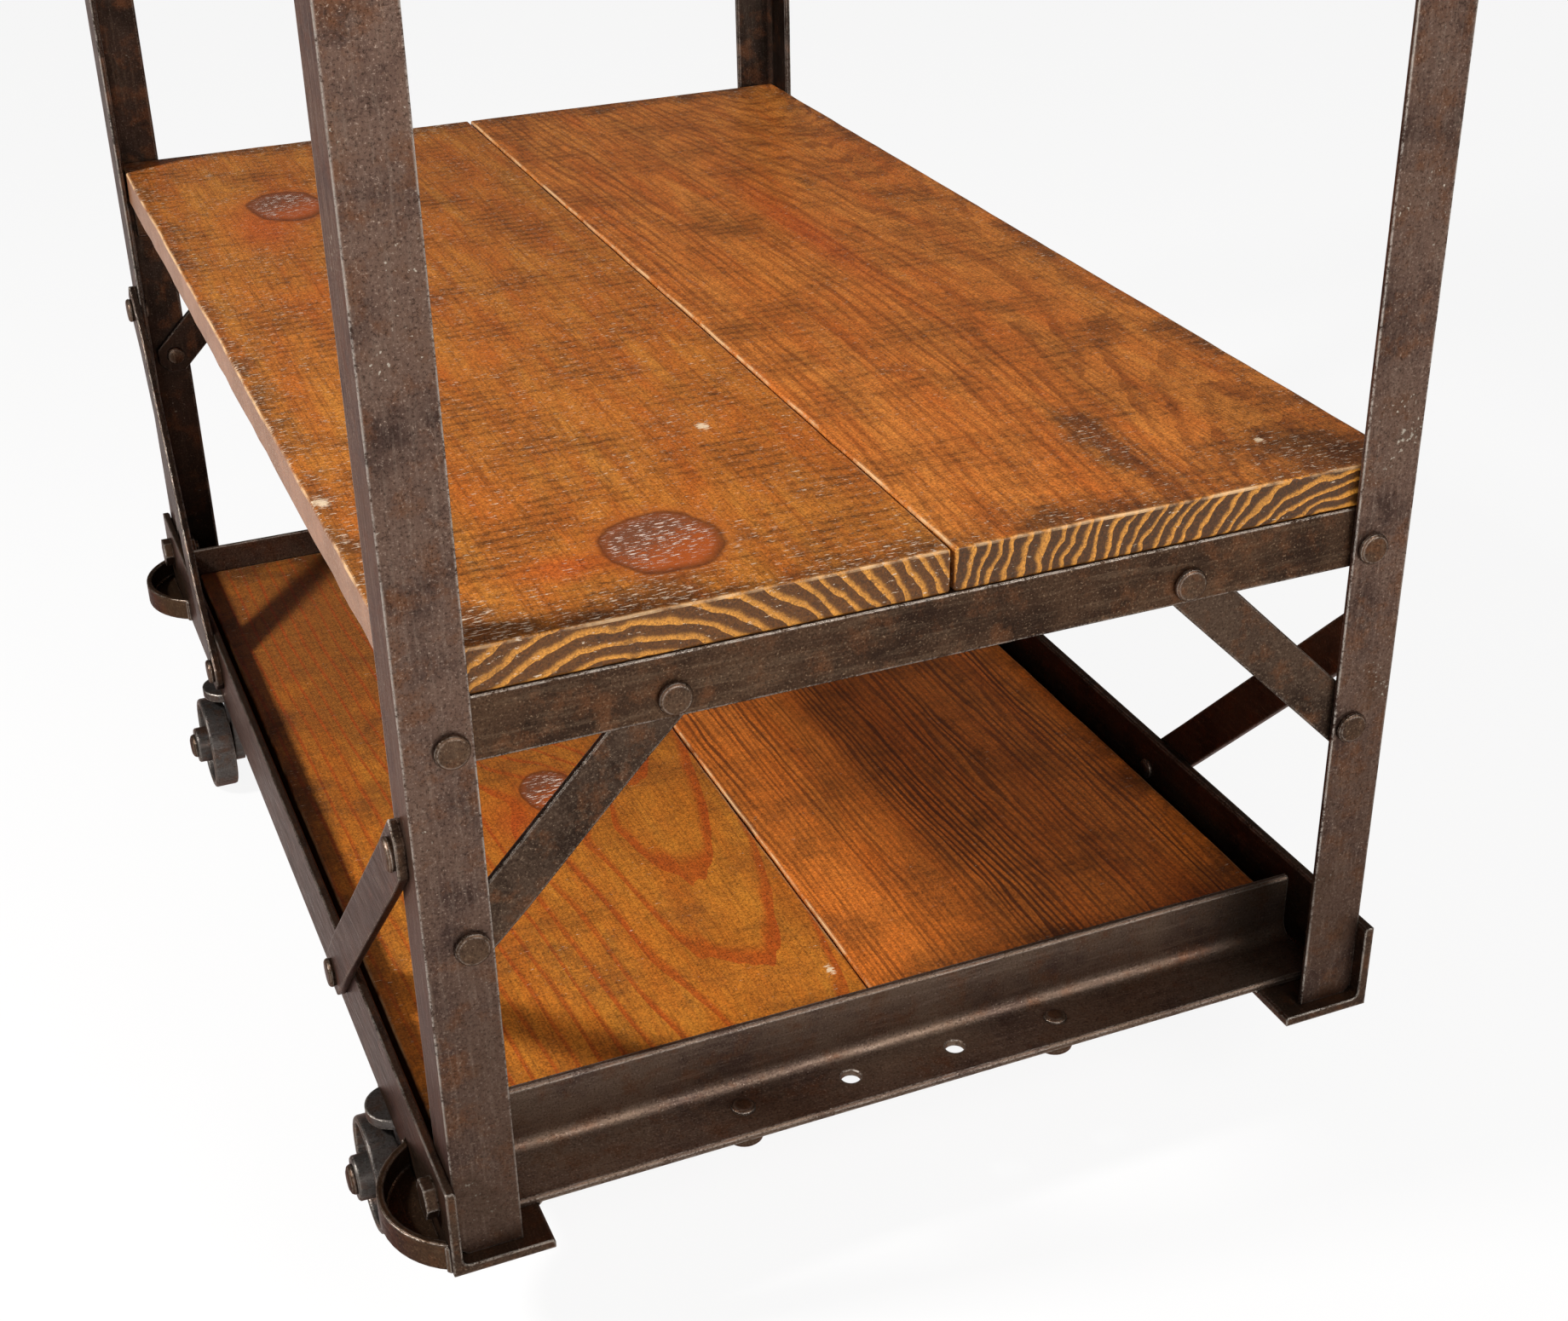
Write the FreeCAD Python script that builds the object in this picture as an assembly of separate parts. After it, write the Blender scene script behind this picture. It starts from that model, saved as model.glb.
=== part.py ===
import FreeCAD, Part
import math
import os

from FreeCAD import Vector

# Mobile storage rack: an angle-iron frame on four cast wheels, with plank decks.
# Millimetres. +X is to the right, +Y to the rear, +Z up.
# The origin is on the floor, in the middle of the plan.

# Plan of the frame, over the outside faces of the posts
frame_width = 800.0
frame_length = 1280.0

# Heights above the feet of the posts
shelf_height = 505.0
top_height = 1105.0
post_above_top = 23.0

# Equal angle bars: leg, thickness and inside root radius
post_leg = 50.0
post_thick = 6.0
shelf_leg = 50.0
shelf_thick = 6.0
rail_leg = 80.0
rail_thick = 8.0
sill_leg = 65.0
sill_thick = 6.0
root_radius = 6.0
sill_root_radius = 10.0
toe_ease = 2.0

# How the base goes together
rail_overhang = 12.0
foot_clearance = 0.5
sill_setback = 97.0
sill_end_gap = 2.0
bearer_spacing = 420.0

# Planks
board_thick = 35.0
board_ease = 2.5
board_gap = 2.0
deck_side_gap = 12.0
deck_end_gap = 2.0
shelf_side_gap = 1.5
shelf_end_gap = 1.5
shelf_seam_shift = 8.0

# Rivets: a low round head outside, a smaller hammered tail inside
rivet_gauge = 34.0
shank_side = 12.0
shank_clearance = 0.3
head_radius = 13.5
head_height = 5.5
head_ease = 3.0
tail_radius = 10.5
tail_height = 4.0

# Sides of the round pieces that repeat
small_round_sides = 12
tail_sides = 8
hub_sides = 24
recess_sides = 36

# Spare holes in the sill flanges, between two rivets that each hold a thick washer underneath
sill_pitch = 96.0
spare_hole_radius = 8.5
sill_head_radius = 17.0
sill_head_height = 10.0
sill_head_ease = 6.0
sill_washer_radius = 14.0
sill_washer_thick = 14.0

# Flat braces
brace_width = 40.0
end_brace_thick = 6.0
end_brace_run = 160.0
side_brace_thick = 8.0
side_brace_run = 310.0
side_brace_low = 35.0
side_brace_cut = 14.0
end_clip = 12.0
end_step_start = 45.0
side_step_start = 82.0
step_end_gap = 45.0
shelf_rail_end_gap = 8.0

# Hexagon bolts that hold each post inside its base rail
hex_bolt_radius = 8.0
hex_clearance = 0.3
hex_flats = 28.0
hex_head_height = 10.0
hex_nut_height = 13.0
hex_past_nut = 4.0
hex_bolt_in = 29.0
hex_bolt_up = 39.0

# Half-round pockets on the outside of the base rails, open at the top
pocket_half_length = 65.0
pocket_reach = 38.0
pocket_wall = 6.0
pocket_floor = 5.0
pocket_height = 25.0
pocket_in = 61.0

# Wheels, from the outer face of the bracket's leg outwards
wheel_radius = 50.8
tread_width = 25.0
rim_depth = 6.5
recess_depth = 14.0
hub_radius = 20.0
hub_length = 36.0
running_clearance = 0.05
side_play = 0.3

# Axles
axle_radius = 10.0
axle_head_radius = 13.0
axle_head_height = 6.0
axle_head_ease = 3.5
axle_hole_clearance = 0.2
thrust_thick = 3.0
thrust_radius = 18.0
axle_nut_flats = 30.0
axle_nut_height = 14.0
axle_past_nut = 4.0

# Wheel brackets
bracket_width = 50.0
bracket_thick = 9.0
hanger_thick = 10.0
hanger_out = 2.5
bracket_reach = 25.0
bracket_inboard = 65.0
rib_thick = 8.0
rib_drop = 36.0
rib_length = 40.0
wheel_gap = 9.2
front_axle_in = 205.0
rear_axle_in = 300.0

# Welds
weld_leg = 4.0

# Levels and faces that follow from the sizes above
post_height = top_height + post_above_top
axle_level = wheel_radius
rail_bottom = 2 * wheel_radius + wheel_gap + bracket_thick
foot_level = rail_bottom + rail_thick
half_width = frame_width / 2
half_length = frame_length / 2
rail_face = half_width + rail_thick
hub_start = thrust_thick + side_play
hanger_face = half_width + hanger_out

SIDES = (("left", -1), ("right", 1))
ENDS = (("front", -1), ("rear", 1))
UP = Vector(0, 0, 1)
X_AXIS = Vector(1, 0, 0)
Y_AXIS = Vector(0, 1, 0)

os.makedirs("parts", exist_ok=True)


def save(name, solids):
    shape = solids[0] if len(solids) == 1 else Part.makeCompound(solids)
    shape.exportStep("parts/" + name + ".step")
    print(name, len(solids), "solids", round(shape.Volume / 1000, 1), "cm3")


def outline_face(origin, first, second, steps):
    """A flat face from steps of (u, v) points; a step of two points is an arc through the first."""

    def place(point):
        return origin + first * point[0] + second * point[1]

    edges = []
    start = place(steps[0])
    for step in steps[1:] + [steps[0]]:
        if isinstance(step[0], tuple):
            end = place(step[1])
            edges.append(Part.Arc(start, place(step[0]), end).toShape())
        else:
            end = place(step)
            if end.isEqual(start, 1e-6):
                continue
            edges.append(Part.LineSegment(start, end).toShape())
        start = end
    return Part.Face(Part.Wire(edges))


def angle_bar(heel, along, leg_a, leg_b, leg, thick, fillet, length):
    """A rolled equal angle from its heel, with a root fillet and eased toes."""
    root_in = fillet * (1 - math.sqrt(0.5))
    root = thick + fillet
    steps = [
        (0, 0),
        (leg, 0),
        (leg, thick - toe_ease),
        (leg - toe_ease, thick),
        (root, thick),
        ((thick + root_in, thick + root_in), (thick, root)),
        (thick, leg - toe_ease),
        (thick - toe_ease, leg),
        (0, leg),
    ]
    return outline_face(heel, leg_a, leg_b, steps).extrude(along * length)


def sided_face(centre, axis, sides, inner_radius):
    """A regular polygon square to an axis, from the radius of the circle inside it."""
    across = UP if abs(axis.z) < 0.5 else X_AXIS
    other = axis.cross(across)
    corner = inner_radius / math.cos(math.pi / sides)
    steps = []
    for turn in range(sides):
        swing = 2 * math.pi * (turn + 0.5) / sides
        steps.append((corner * math.cos(swing), corner * math.sin(swing)))
    return outline_face(centre, across, other, steps)


def sided_bar(centre, axis, sides, inner_radius, length):
    """A bar of regular section that starts at a centre point and runs along an axis."""
    return sided_face(centre, axis, sides, inner_radius).extrude(axis * length)


def square_bar(centre, axis, side, length):
    return sided_bar(centre, axis, 4, side / 2, length)


def hexagon_bar(centre, axis, flats, length):
    return sided_bar(centre, axis, 6, flats / 2, length)


def small_round(centre, axis, radius, length):
    """A small round bar or hole, with few sides because it repeats so often."""
    return sided_bar(centre, axis, small_round_sides, radius, length)


def round_head(seat, outward, radius, height, crown_ease):
    """A low round head with an upright rim and an eased crown."""
    head = small_round(seat, outward, radius, height)
    crown = [edge for edge in head.Edges if (edge.CenterOfMass - seat).dot(outward) > 0.9 * height]
    return head.makeChamfer(crown_ease, crown)


class Rivet:
    """A rivet: where its head sits, the way the shank runs, and the thickness that it grips."""

    def __init__(self, seat, inward, grip, radius=head_radius, height=head_height, ease=head_ease):
        self.seat = seat
        self.inward = inward
        self.grip = grip
        self.radius = radius
        self.height = height
        self.ease = ease

    def hole(self):
        start = self.seat - self.inward * self.height
        reach = self.grip + self.height + tail_height
        return square_bar(start, self.inward, shank_side + 2 * shank_clearance, reach)

    def solid(self):
        head = round_head(self.seat, self.inward * -1, self.radius, self.height, self.ease)
        shank = square_bar(self.seat, self.inward, shank_side, self.grip)
        tail_seat = self.seat + self.inward * self.grip
        tail = sided_bar(tail_seat, self.inward, tail_sides, tail_radius, tail_height)
        return head.fuse([shank, tail])


class HexBolt:
    """A hexagon bolt and nut through a base rail and the post inside it."""

    def __init__(self, seat, inward, grip):
        self.seat = seat
        self.inward = inward
        self.grip = grip

    def hole(self):
        start = self.seat - self.inward * hex_head_height
        reach = self.grip + hex_head_height + hex_nut_height
        return small_round(start, self.inward, hex_bolt_radius + hex_clearance, reach)

    def bolt(self):
        head = hexagon_bar(self.seat, self.inward * -1, hex_flats, hex_head_height)
        reach = self.grip + hex_nut_height + hex_past_nut
        return head.fuse(small_round(self.seat, self.inward, hex_bolt_radius, reach))

    def nut(self):
        seat = self.seat + self.inward * self.grip
        blank = hexagon_bar(seat, self.inward, hex_flats, hex_nut_height)
        return blank.cut(small_round(seat, self.inward, hex_bolt_radius + hex_clearance, hex_nut_height))


def drilled(solid, fasteners):
    for fastener in fasteners:
        solid = solid.cut(fastener.hole())
    return solid


def flat_brace(low, high, normal, thick, low_offset, high_offset, step_start, slant_cut):
    """A flat bar between two rivet centres, set over in a long slope from one seat to the other.

    The offsets lie along the normal, from the plane of the rivet centres to the bar's near face.
    Both ends have their corners clipped, or the high end is trimmed upright slant_cut past its rivet.
    """
    axis = high - low
    length = axis.Length
    axis.normalize()
    across = normal.cross(axis)
    if across.z > 0:
        across = across * -1
    half = brace_width / 2
    step_end = length - step_end_gap
    profile = [
        (-half, low_offset),
        (step_start, low_offset),
        (step_end, high_offset),
        (length + half, high_offset),
        (length + half, high_offset + thick),
        (step_end, high_offset + thick),
        (step_start, low_offset + thick),
        (-half, low_offset + thick),
    ]
    bar = outline_face(low - across * half, axis, normal, profile).extrude(across * brace_width)
    if slant_cut:
        trim = slant_cut * math.sqrt(2)
        high_end = [(length + half, half), (length + half, half - trim), (length + trim - half, -half)]
    else:
        high_end = [
            (length + half - end_clip, half),
            (length + half, half - end_clip),
            (length + half, end_clip - half),
            (length + half - end_clip, -half),
        ]
    low_end = [
        (end_clip - half, -half),
        (-half, end_clip - half),
        (-half, half - end_clip),
        (end_clip - half, half),
    ]
    plan = low_end + high_end
    reach = low_offset + high_offset + thick
    blank = outline_face(low, axis, across * -1, plan).extrude(normal * reach)
    return bar.common(blank)


def weld_bead(corner, along, side_a, side_b, length):
    """A fillet weld of triangular section in a corner."""
    steps = [(0, 0), (weld_leg, 0), (0, weld_leg)]
    return outline_face(corner, side_a, side_b, steps).extrude(along * length)


def plank(left, right, front, rear, bottom):
    """A plank with its edges eased all round."""
    box = Part.makeBox(right - left, rear - front, board_thick, Vector(left, front, bottom))
    return box.makeChamfer(board_ease, box.Edges)


# Fasteners first: the pieces that they join are drilled from the same objects
shelf_rivets = []
top_rivets = []
brace_rivets = []
sill_rivets = []
post_bolts = []
end_brace_ends = {}
side_brace_ends = {}

for end, sy in ENDS:
    face_y = sy * half_length
    inward_y = Vector(0, -sy, 0)
    for side, sx in SIDES:
        post_x = sx * (half_width - rivet_gauge)
        for height, group in ((shelf_height, shelf_rivets), (top_height, top_rivets)):
            rivet_z = foot_level + height - board_thick - rivet_gauge
            seat = Vector(post_x, face_y, rivet_z)
            group.append(Rivet(seat, inward_y, post_thick + shelf_thick))
        rivet_z = foot_level + shelf_height - board_thick - rivet_gauge
        low = Vector(post_x, face_y, rivet_z - end_brace_run)
        high = Vector(post_x - sx * end_brace_run, face_y - sy * post_thick, rivet_z)
        brace_rivets.append(Rivet(low, inward_y, post_thick + end_brace_thick))
        brace_rivets.append(Rivet(high, inward_y, shelf_thick + end_brace_thick))
        end_brace_ends[end, side] = (low, high)

        inward_x = Vector(-sx, 0, 0)
        post_y = sy * (half_length - rivet_gauge)
        low_z = foot_level + side_brace_low
        high = Vector(sx * half_width, post_y, low_z + side_brace_run)
        low = Vector(sx * half_width, post_y - sy * side_brace_run, low_z)
        seat_out = Vector(sx * side_brace_thick, 0, 0)
        rail_out = Vector(sx * rail_thick, 0, 0)
        brace_rivets.append(Rivet(high + seat_out, inward_x, side_brace_thick + post_thick))
        brace_rivets.append(Rivet(low + seat_out + rail_out, inward_x, side_brace_thick + rail_thick))
        side_brace_ends[end, side] = (low, high)

        seat = Vector(sx * rail_face, sy * (half_length - hex_bolt_in), foot_level + hex_bolt_up)
        post_bolts.append(HexBolt(seat, inward_x, rail_thick + post_thick))

    sill_y = sy * (half_length - sill_setback + sill_leg / 2)
    for place in (-1.5, 1.5):
        seat = Vector(place * sill_pitch, sill_y, foot_level - sill_washer_thick)
        grip = sill_washer_thick + sill_thick
        sill_rivets.append(Rivet(seat, UP, grip, sill_head_radius, sill_head_height, sill_head_ease))


def near(fasteners, solid):
    """The fasteners whose holes meet a solid."""
    box = solid.BoundBox
    return [each for each in fasteners if box.intersect(each.hole().BoundBox)]


# Corner posts: each foot is trimmed to clear the root of the rail that it stands in
post_fasteners = shelf_rivets + top_rivets + brace_rivets + post_bolts
for end, sy in ENDS:
    for side, sx in SIDES:
        heel = Vector(sx * half_width, sy * half_length, foot_level)
        inward_x = Vector(-sx, 0, 0)
        inward_y = Vector(0, -sy, 0)
        post = angle_bar(heel, UP, inward_x, inward_y, post_leg, post_thick, root_radius, post_height)
        foot_cut = root_radius + foot_clearance
        trim = outline_face(heel, inward_x, UP, [(0, 0), (foot_cut, 0), (0, foot_cut)])
        post = post.cut(trim.extrude(inward_y * post_leg))
        save("post_" + end + "_" + side, [drilled(post, near(post_fasteners, post))])

# Long base rails: the posts stand on the flat leg, inside the upright leg
rail_length = frame_length + 2 * rail_overhang
for side, sx in SIDES:
    heel = Vector(sx * rail_face, -rail_length / 2, rail_bottom)
    rail = angle_bar(heel, Y_AXIS, Vector(-sx, 0, 0), UP, rail_leg, rail_thick, root_radius, rail_length)
    save("base_rail_" + side, [drilled(rail, near(brace_rivets + post_bolts, rail))])

# Short sills across the base: upright leg inside, flat leg outwards with its spare holes
sill_length = frame_width - 2 * (post_thick + sill_end_gap)
for end, sy in ENDS:
    heel = Vector(-sill_length / 2, sy * (half_length - sill_setback), foot_level)
    sill = angle_bar(heel, X_AXIS, Vector(0, sy, 0), UP, sill_leg, sill_thick, sill_root_radius, sill_length)
    hole_y = sy * (half_length - sill_setback + sill_leg / 2)
    for place in (-0.5, 0.5):
        start = Vector(place * sill_pitch, hole_y, foot_level)
        sill = sill.cut(Part.makeCylinder(spare_hole_radius, sill_thick, start, UP))
    save("base_sill_" + end, [drilled(sill, near(sill_rivets, sill))])

# Cross bearers that carry the deck's seam, butted between the flat legs of the base rails
bearer_length = 2 * (rail_face - rail_leg)
for end, sy in ENDS:
    heel = Vector(-bearer_length / 2, sy * bearer_spacing / 2, foot_level)
    bearer = angle_bar(heel, X_AXIS, Vector(0, sy, 0), UP * -1, shelf_leg, shelf_thick, root_radius, bearer_length)
    save("deck_bearer_" + end, [bearer])

# Shelf rails: flat leg under the planks, upright leg behind the posts' end legs
rail_half = half_width - post_thick - shelf_rail_end_gap
for level, height, rivets in (("shelf", shelf_height, shelf_rivets), ("top", top_height, top_rivets)):
    for end, sy in ENDS:
        heel = Vector(-rail_half, sy * (half_length - post_thick), foot_level + height - board_thick)
        rail = angle_bar(heel, X_AXIS, Vector(0, -sy, 0), UP * -1, shelf_leg, shelf_thick, root_radius, 2 * rail_half)
        save(level + "_rail_" + end, [drilled(rail, near(rivets + brace_rivets, rail))])

# Planks: a pair on the base, the middle shelf and the top shelf
deck_half = half_width - deck_side_gap
deck_end = half_length - sill_setback - deck_end_gap
save("deck_board_left", [plank(-deck_half, -board_gap / 2, -deck_end, deck_end, foot_level)])
save("deck_board_right", [plank(board_gap / 2, deck_half, -deck_end, deck_end, foot_level)])
shelf_half = half_width - post_thick - shelf_side_gap
shelf_end = half_length - post_thick - shelf_end_gap
seam_left = shelf_seam_shift - board_gap / 2
seam_right = shelf_seam_shift + board_gap / 2
for level, height in (("shelf", shelf_height), ("top", top_height)):
    bottom = foot_level + height - board_thick
    save(level + "_board_left", [plank(-shelf_half, seam_left, -shelf_end, shelf_end, bottom)])
    save(level + "_board_right", [plank(seam_right, shelf_half, -shelf_end, shelf_end, bottom)])

# Braces between the middle shelf's rails and the posts, and between the posts and the base rails
for end, sy in ENDS:
    for side, sx in SIDES:
        low, high = end_brace_ends[end, side]
        low = low - Vector(0, sy * post_thick, 0)
        brace = flat_brace(
            low, high, Vector(0, -sy, 0), end_brace_thick, 0, shelf_thick, end_step_start, None
        )
        save("end_brace_" + end + "_" + side, [drilled(brace, near(brace_rivets, brace))])
        low, high = side_brace_ends[end, side]
        brace = flat_brace(
            low, high, Vector(sx, 0, 0), side_brace_thick, rail_thick, 0, side_step_start, side_brace_cut
        )
        save("side_brace_" + end + "_" + side, [drilled(brace, near(brace_rivets, brace))])

# Corner pockets near the ends of the base rails, each bent to one arc with a floor
pocket_radius = (pocket_half_length**2 + pocket_reach**2) / (2 * pocket_reach)
pocket_centre_in = pocket_radius - pocket_reach
pocket_inner_half = math.sqrt((pocket_radius - pocket_wall) ** 2 - pocket_centre_in**2)
corner_pockets = []
for end, sy in ENDS:
    for side, sx in SIDES:
        outward = Vector(sx, 0, 0)
        centre = Vector(sx * rail_face, sy * (half_length - pocket_in), rail_bottom)
        plan = [(pocket_half_length, 0), ((0, pocket_reach), (-pocket_half_length, 0))]
        blank = outline_face(centre, Y_AXIS, outward, plan).extrude(UP * pocket_height)
        hollow_plan = [(pocket_inner_half, 0), ((0, pocket_reach - pocket_wall), (-pocket_inner_half, 0))]
        hollow = outline_face(centre + UP * pocket_floor, Y_AXIS, outward, hollow_plan)
        corner_pockets.append(blank.cut(hollow.extrude(UP * pocket_height)))
save("corner_pockets", corner_pockets)

# Wheels on fixed axles, each hung from a bracket under a base rail
web_high = hub_start + tread_width - recess_depth
rim_radius = wheel_radius - rim_depth
bore = axle_radius + running_clearance
axle_back = hanger_thick + axle_nut_height + axle_past_nut
head_start = hub_start + hub_length + side_play
bracket_half = bracket_width / 2
axles = []
wheel_brackets = []
thrust_washers = []
axle_nuts = []
bracket_welds = []
for end, sy in ENDS:
    axle_in = front_axle_in if end == "front" else rear_axle_in
    axle_y = sy * (half_length - axle_in)
    for side, sx in SIDES:
        outward = Vector(sx, 0, 0)
        inward = Vector(-sx, 0, 0)
        seat = Vector(sx * hanger_face, axle_y, axle_level)
        wheel_back = seat + outward * hub_start
        disc = Part.makeCylinder(wheel_radius, tread_width, wheel_back, outward)
        recess = sided_bar(seat + outward * web_high, outward, recess_sides, rim_radius, recess_depth)
        hub = sided_bar(wheel_back, outward, hub_sides, hub_radius, hub_length)
        wheel = disc.cut(recess).fuse(hub).removeSplitter()
        wheel = wheel.cut(Part.makeCylinder(bore, hub_length, wheel_back, outward))
        save("wheel_" + end + "_" + side, [wheel])
        pin = Part.makeCylinder(axle_radius, axle_back + head_start, seat - outward * axle_back, outward)
        head_seat = seat + outward * head_start
        axle_head = round_head(head_seat, outward, axle_head_radius, axle_head_height, axle_head_ease)
        axles.append(pin.fuse(axle_head))
        hole_radius = axle_radius + axle_hole_clearance
        washer_bore = small_round(seat, outward, hole_radius, thrust_thick)
        thrust_washers.append(small_round(seat, outward, thrust_radius, thrust_thick).cut(washer_bore))
        nut_seat = seat + inward * hanger_thick
        nut_bore = small_round(nut_seat, inward, hole_radius, axle_nut_height)
        axle_nuts.append(hexagon_bar(nut_seat, inward, axle_nut_flats, axle_nut_height).cut(nut_bore))

        flange_top = Vector(sx * half_width, axle_y, rail_bottom)
        round_start = bracket_reach - bracket_half
        flange_plan = [
            (-bracket_inboard, -bracket_half),
            (round_start, -bracket_half),
            ((bracket_reach, 0), (round_start, bracket_half)),
            (-bracket_inboard, bracket_half),
        ]
        flange = outline_face(flange_top, outward, Y_AXIS, flange_plan).extrude(UP * -bracket_thick)
        drop = rail_bottom - axle_level
        hanger_plan = [
            (-bracket_half, 0),
            (-bracket_half, -drop),
            ((0, -drop - bracket_half), (bracket_half, -drop)),
            (bracket_half, 0),
        ]
        hanger_top = Vector(sx * hanger_face, axle_y, rail_bottom)
        hanger = outline_face(hanger_top, Y_AXIS, UP, hanger_plan).extrude(inward * hanger_thick)
        rib_corner = Vector(sx * (hanger_face - hanger_thick), axle_y - rib_thick / 2, rail_bottom)
        rib_plan = [
            (0, 0),
            (rib_length, 0),
            (rib_length, -bracket_thick),
            (0, -bracket_thick - rib_drop),
        ]
        rib = outline_face(rib_corner, inward, UP, rib_plan).extrude(Y_AXIS * rib_thick)
        bracket = flange.fuse([hanger, rib]).removeSplitter()
        through = seat + inward * (hanger_thick + axle_nut_height)
        axle_hole = small_round(through, outward, hole_radius, hanger_thick + 2 * axle_nut_height)
        wheel_brackets.append(bracket.cut(axle_hole))

        for turn in (-1, 1):
            corner = Vector(sx * (half_width - bracket_inboard), axle_y + turn * bracket_half, rail_bottom)
            bracket_welds.append(
                weld_bead(corner, outward, Vector(0, turn, 0), UP * -1, bracket_inboard + rail_thick)
            )

save("axles", axles)
save("wheel_brackets", wheel_brackets)
save("thrust_washers", thrust_washers)
save("axle_nuts", axle_nuts)
save("bracket_welds", bracket_welds)

# Welds under the ends of the sills, along the toes of the base rails, and at the ends of the pockets
sill_welds = []
pocket_welds = []
for end, sy in ENDS:
    outward_y = Vector(0, sy, 0)
    for side, sx in SIDES:
        outward_x = Vector(sx, 0, 0)
        toe = Vector(sx * (rail_face - rail_leg), sy * (half_length - sill_setback), foot_level)
        sill_welds.append(weld_bead(toe, outward_y, Vector(-sx, 0, 0), UP * -1, sill_leg))
        for turn in (-1, 1):
            pocket_y = sy * (half_length - pocket_in) + turn * pocket_half_length
            corner = Vector(sx * rail_face, pocket_y, rail_bottom)
            pocket_welds.append(weld_bead(corner, UP, Vector(0, turn, 0), outward_x, pocket_height))
save("sill_welds", sill_welds)
save("pocket_welds", pocket_welds)

# Fasteners, one node for each kind and place
for name, rivets in (
    ("shelf", shelf_rivets),
    ("top", top_rivets),
    ("brace", brace_rivets),
    ("sill", sill_rivets),
):
    save(name + "_rivets", [each.solid() for each in rivets])
washers = []
for each in sill_rivets:
    blank = small_round(each.seat, each.inward, sill_washer_radius, sill_washer_thick)
    washers.append(blank.cut(each.hole()))
save("sill_washers", washers)
save("post_bolts", [each.bolt() for each in post_bolts])
save("post_nuts", [each.nut() for each in post_bolts])
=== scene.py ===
# %% [markdown]
# # Mobile storage rack
# This lesson dresses a rack of angle iron and plank, which stands on four small cast wheels.
# The solids are already exact, so nothing is measured again here: the frame is loaded, and each
# step asks it where a piece is. What Blender adds is what a solid modeller leaves out, such as
# hammered rivets, eased edges, grain, rust and light.

import math
import random
from functools import partial
from types import SimpleNamespace

import bmesh
import bpy
from mathutils import Matrix, Vector


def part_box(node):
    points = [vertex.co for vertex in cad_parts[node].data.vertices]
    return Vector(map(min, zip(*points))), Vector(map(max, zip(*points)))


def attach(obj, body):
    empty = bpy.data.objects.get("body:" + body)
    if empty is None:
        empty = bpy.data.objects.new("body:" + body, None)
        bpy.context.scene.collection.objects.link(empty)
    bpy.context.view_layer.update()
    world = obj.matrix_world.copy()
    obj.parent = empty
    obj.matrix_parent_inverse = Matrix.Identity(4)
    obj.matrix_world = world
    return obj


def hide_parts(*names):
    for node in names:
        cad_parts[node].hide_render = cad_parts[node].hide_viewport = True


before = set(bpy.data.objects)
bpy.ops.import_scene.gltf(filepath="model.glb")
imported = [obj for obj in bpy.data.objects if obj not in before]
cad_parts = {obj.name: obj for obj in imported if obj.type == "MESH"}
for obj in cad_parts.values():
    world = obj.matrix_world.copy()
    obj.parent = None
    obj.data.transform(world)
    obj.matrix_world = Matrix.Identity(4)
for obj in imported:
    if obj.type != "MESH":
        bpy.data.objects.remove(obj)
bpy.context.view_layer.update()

# %% [markdown]
# ## Colours and nodes
# A colour is easiest to write as the hex value that a painter would pick from a screen, but a
# renderer works in linear light, so one function converts it. One more function adds a node:
# every material below is a list of calls to it, read from top to bottom like a recipe. Most steps
# of a recipe are the same: a Map Range turns a pattern into a share, and a Mix lays a colour over
# the one under it by that share. So the sockets of these two get names, and each finish keeps a
# short add of its own.

# %% Helpers for every finish


def linear(hex_colour):
    """An sRGB hex colour as linear red, green, blue and alpha."""
    shares = [int(hex_colour[start:start + 2], 16) / 255 for start in (1, 3, 5)]
    light = [share / 12.92 if share <= 0.04045 else ((share + 0.055) / 1.055) ** 2.4 for share in shares]
    return (*light, 1.0)


def add_node(finish, kind, inputs, **settings):
    """Adds a shader node, sets it, gives each input a link or a value, and returns its outputs."""
    node = finish.node_tree.nodes.new("ShaderNode" + kind)
    for name, value in settings.items():
        setattr(node, name, value)
    for socket, value in inputs.items():
        if isinstance(value, bpy.types.NodeSocket):
            finish.node_tree.links.new(value, node.inputs[socket])
        else:
            node.inputs[socket].default_value = value
    return node.outputs


def new_finish(name):
    """An empty node material."""
    finish = bpy.data.materials.new(name)
    finish.use_nodes = True
    finish.node_tree.nodes.clear()
    return finish


# Map Range inputs: the pattern, the range it is read over, and the shares that this gives
VALUE, LOW, HIGH, LEAST, MOST = range(5)
# Colour Mix: three inputs and the output
SHARE, UNDER, OVER, BLEND = 0, 6, 7, 2
MM = 0.001
print("linear mid grey", [round(share, 3) for share in linear("#808080")])

# %% [markdown]
# ## Hot-rolled steel with an old brown patina
# The bars are hot-rolled mild steel that has gone brown over decades of handling. Damp leaves
# cloudy tints and patches of rust, rolling draws streaks along the bar, and its scale breaks up
# into pits and flecks of about 2 mm; the pale flecks are partly painted glints. A flat grey would look
# like plastic, and a photograph of rust would repeat, so the colour is built up from these causes, the
# slow ones first.

# %% Tints, rust and rolled scale
grain_size = 1.8 * MM


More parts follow.
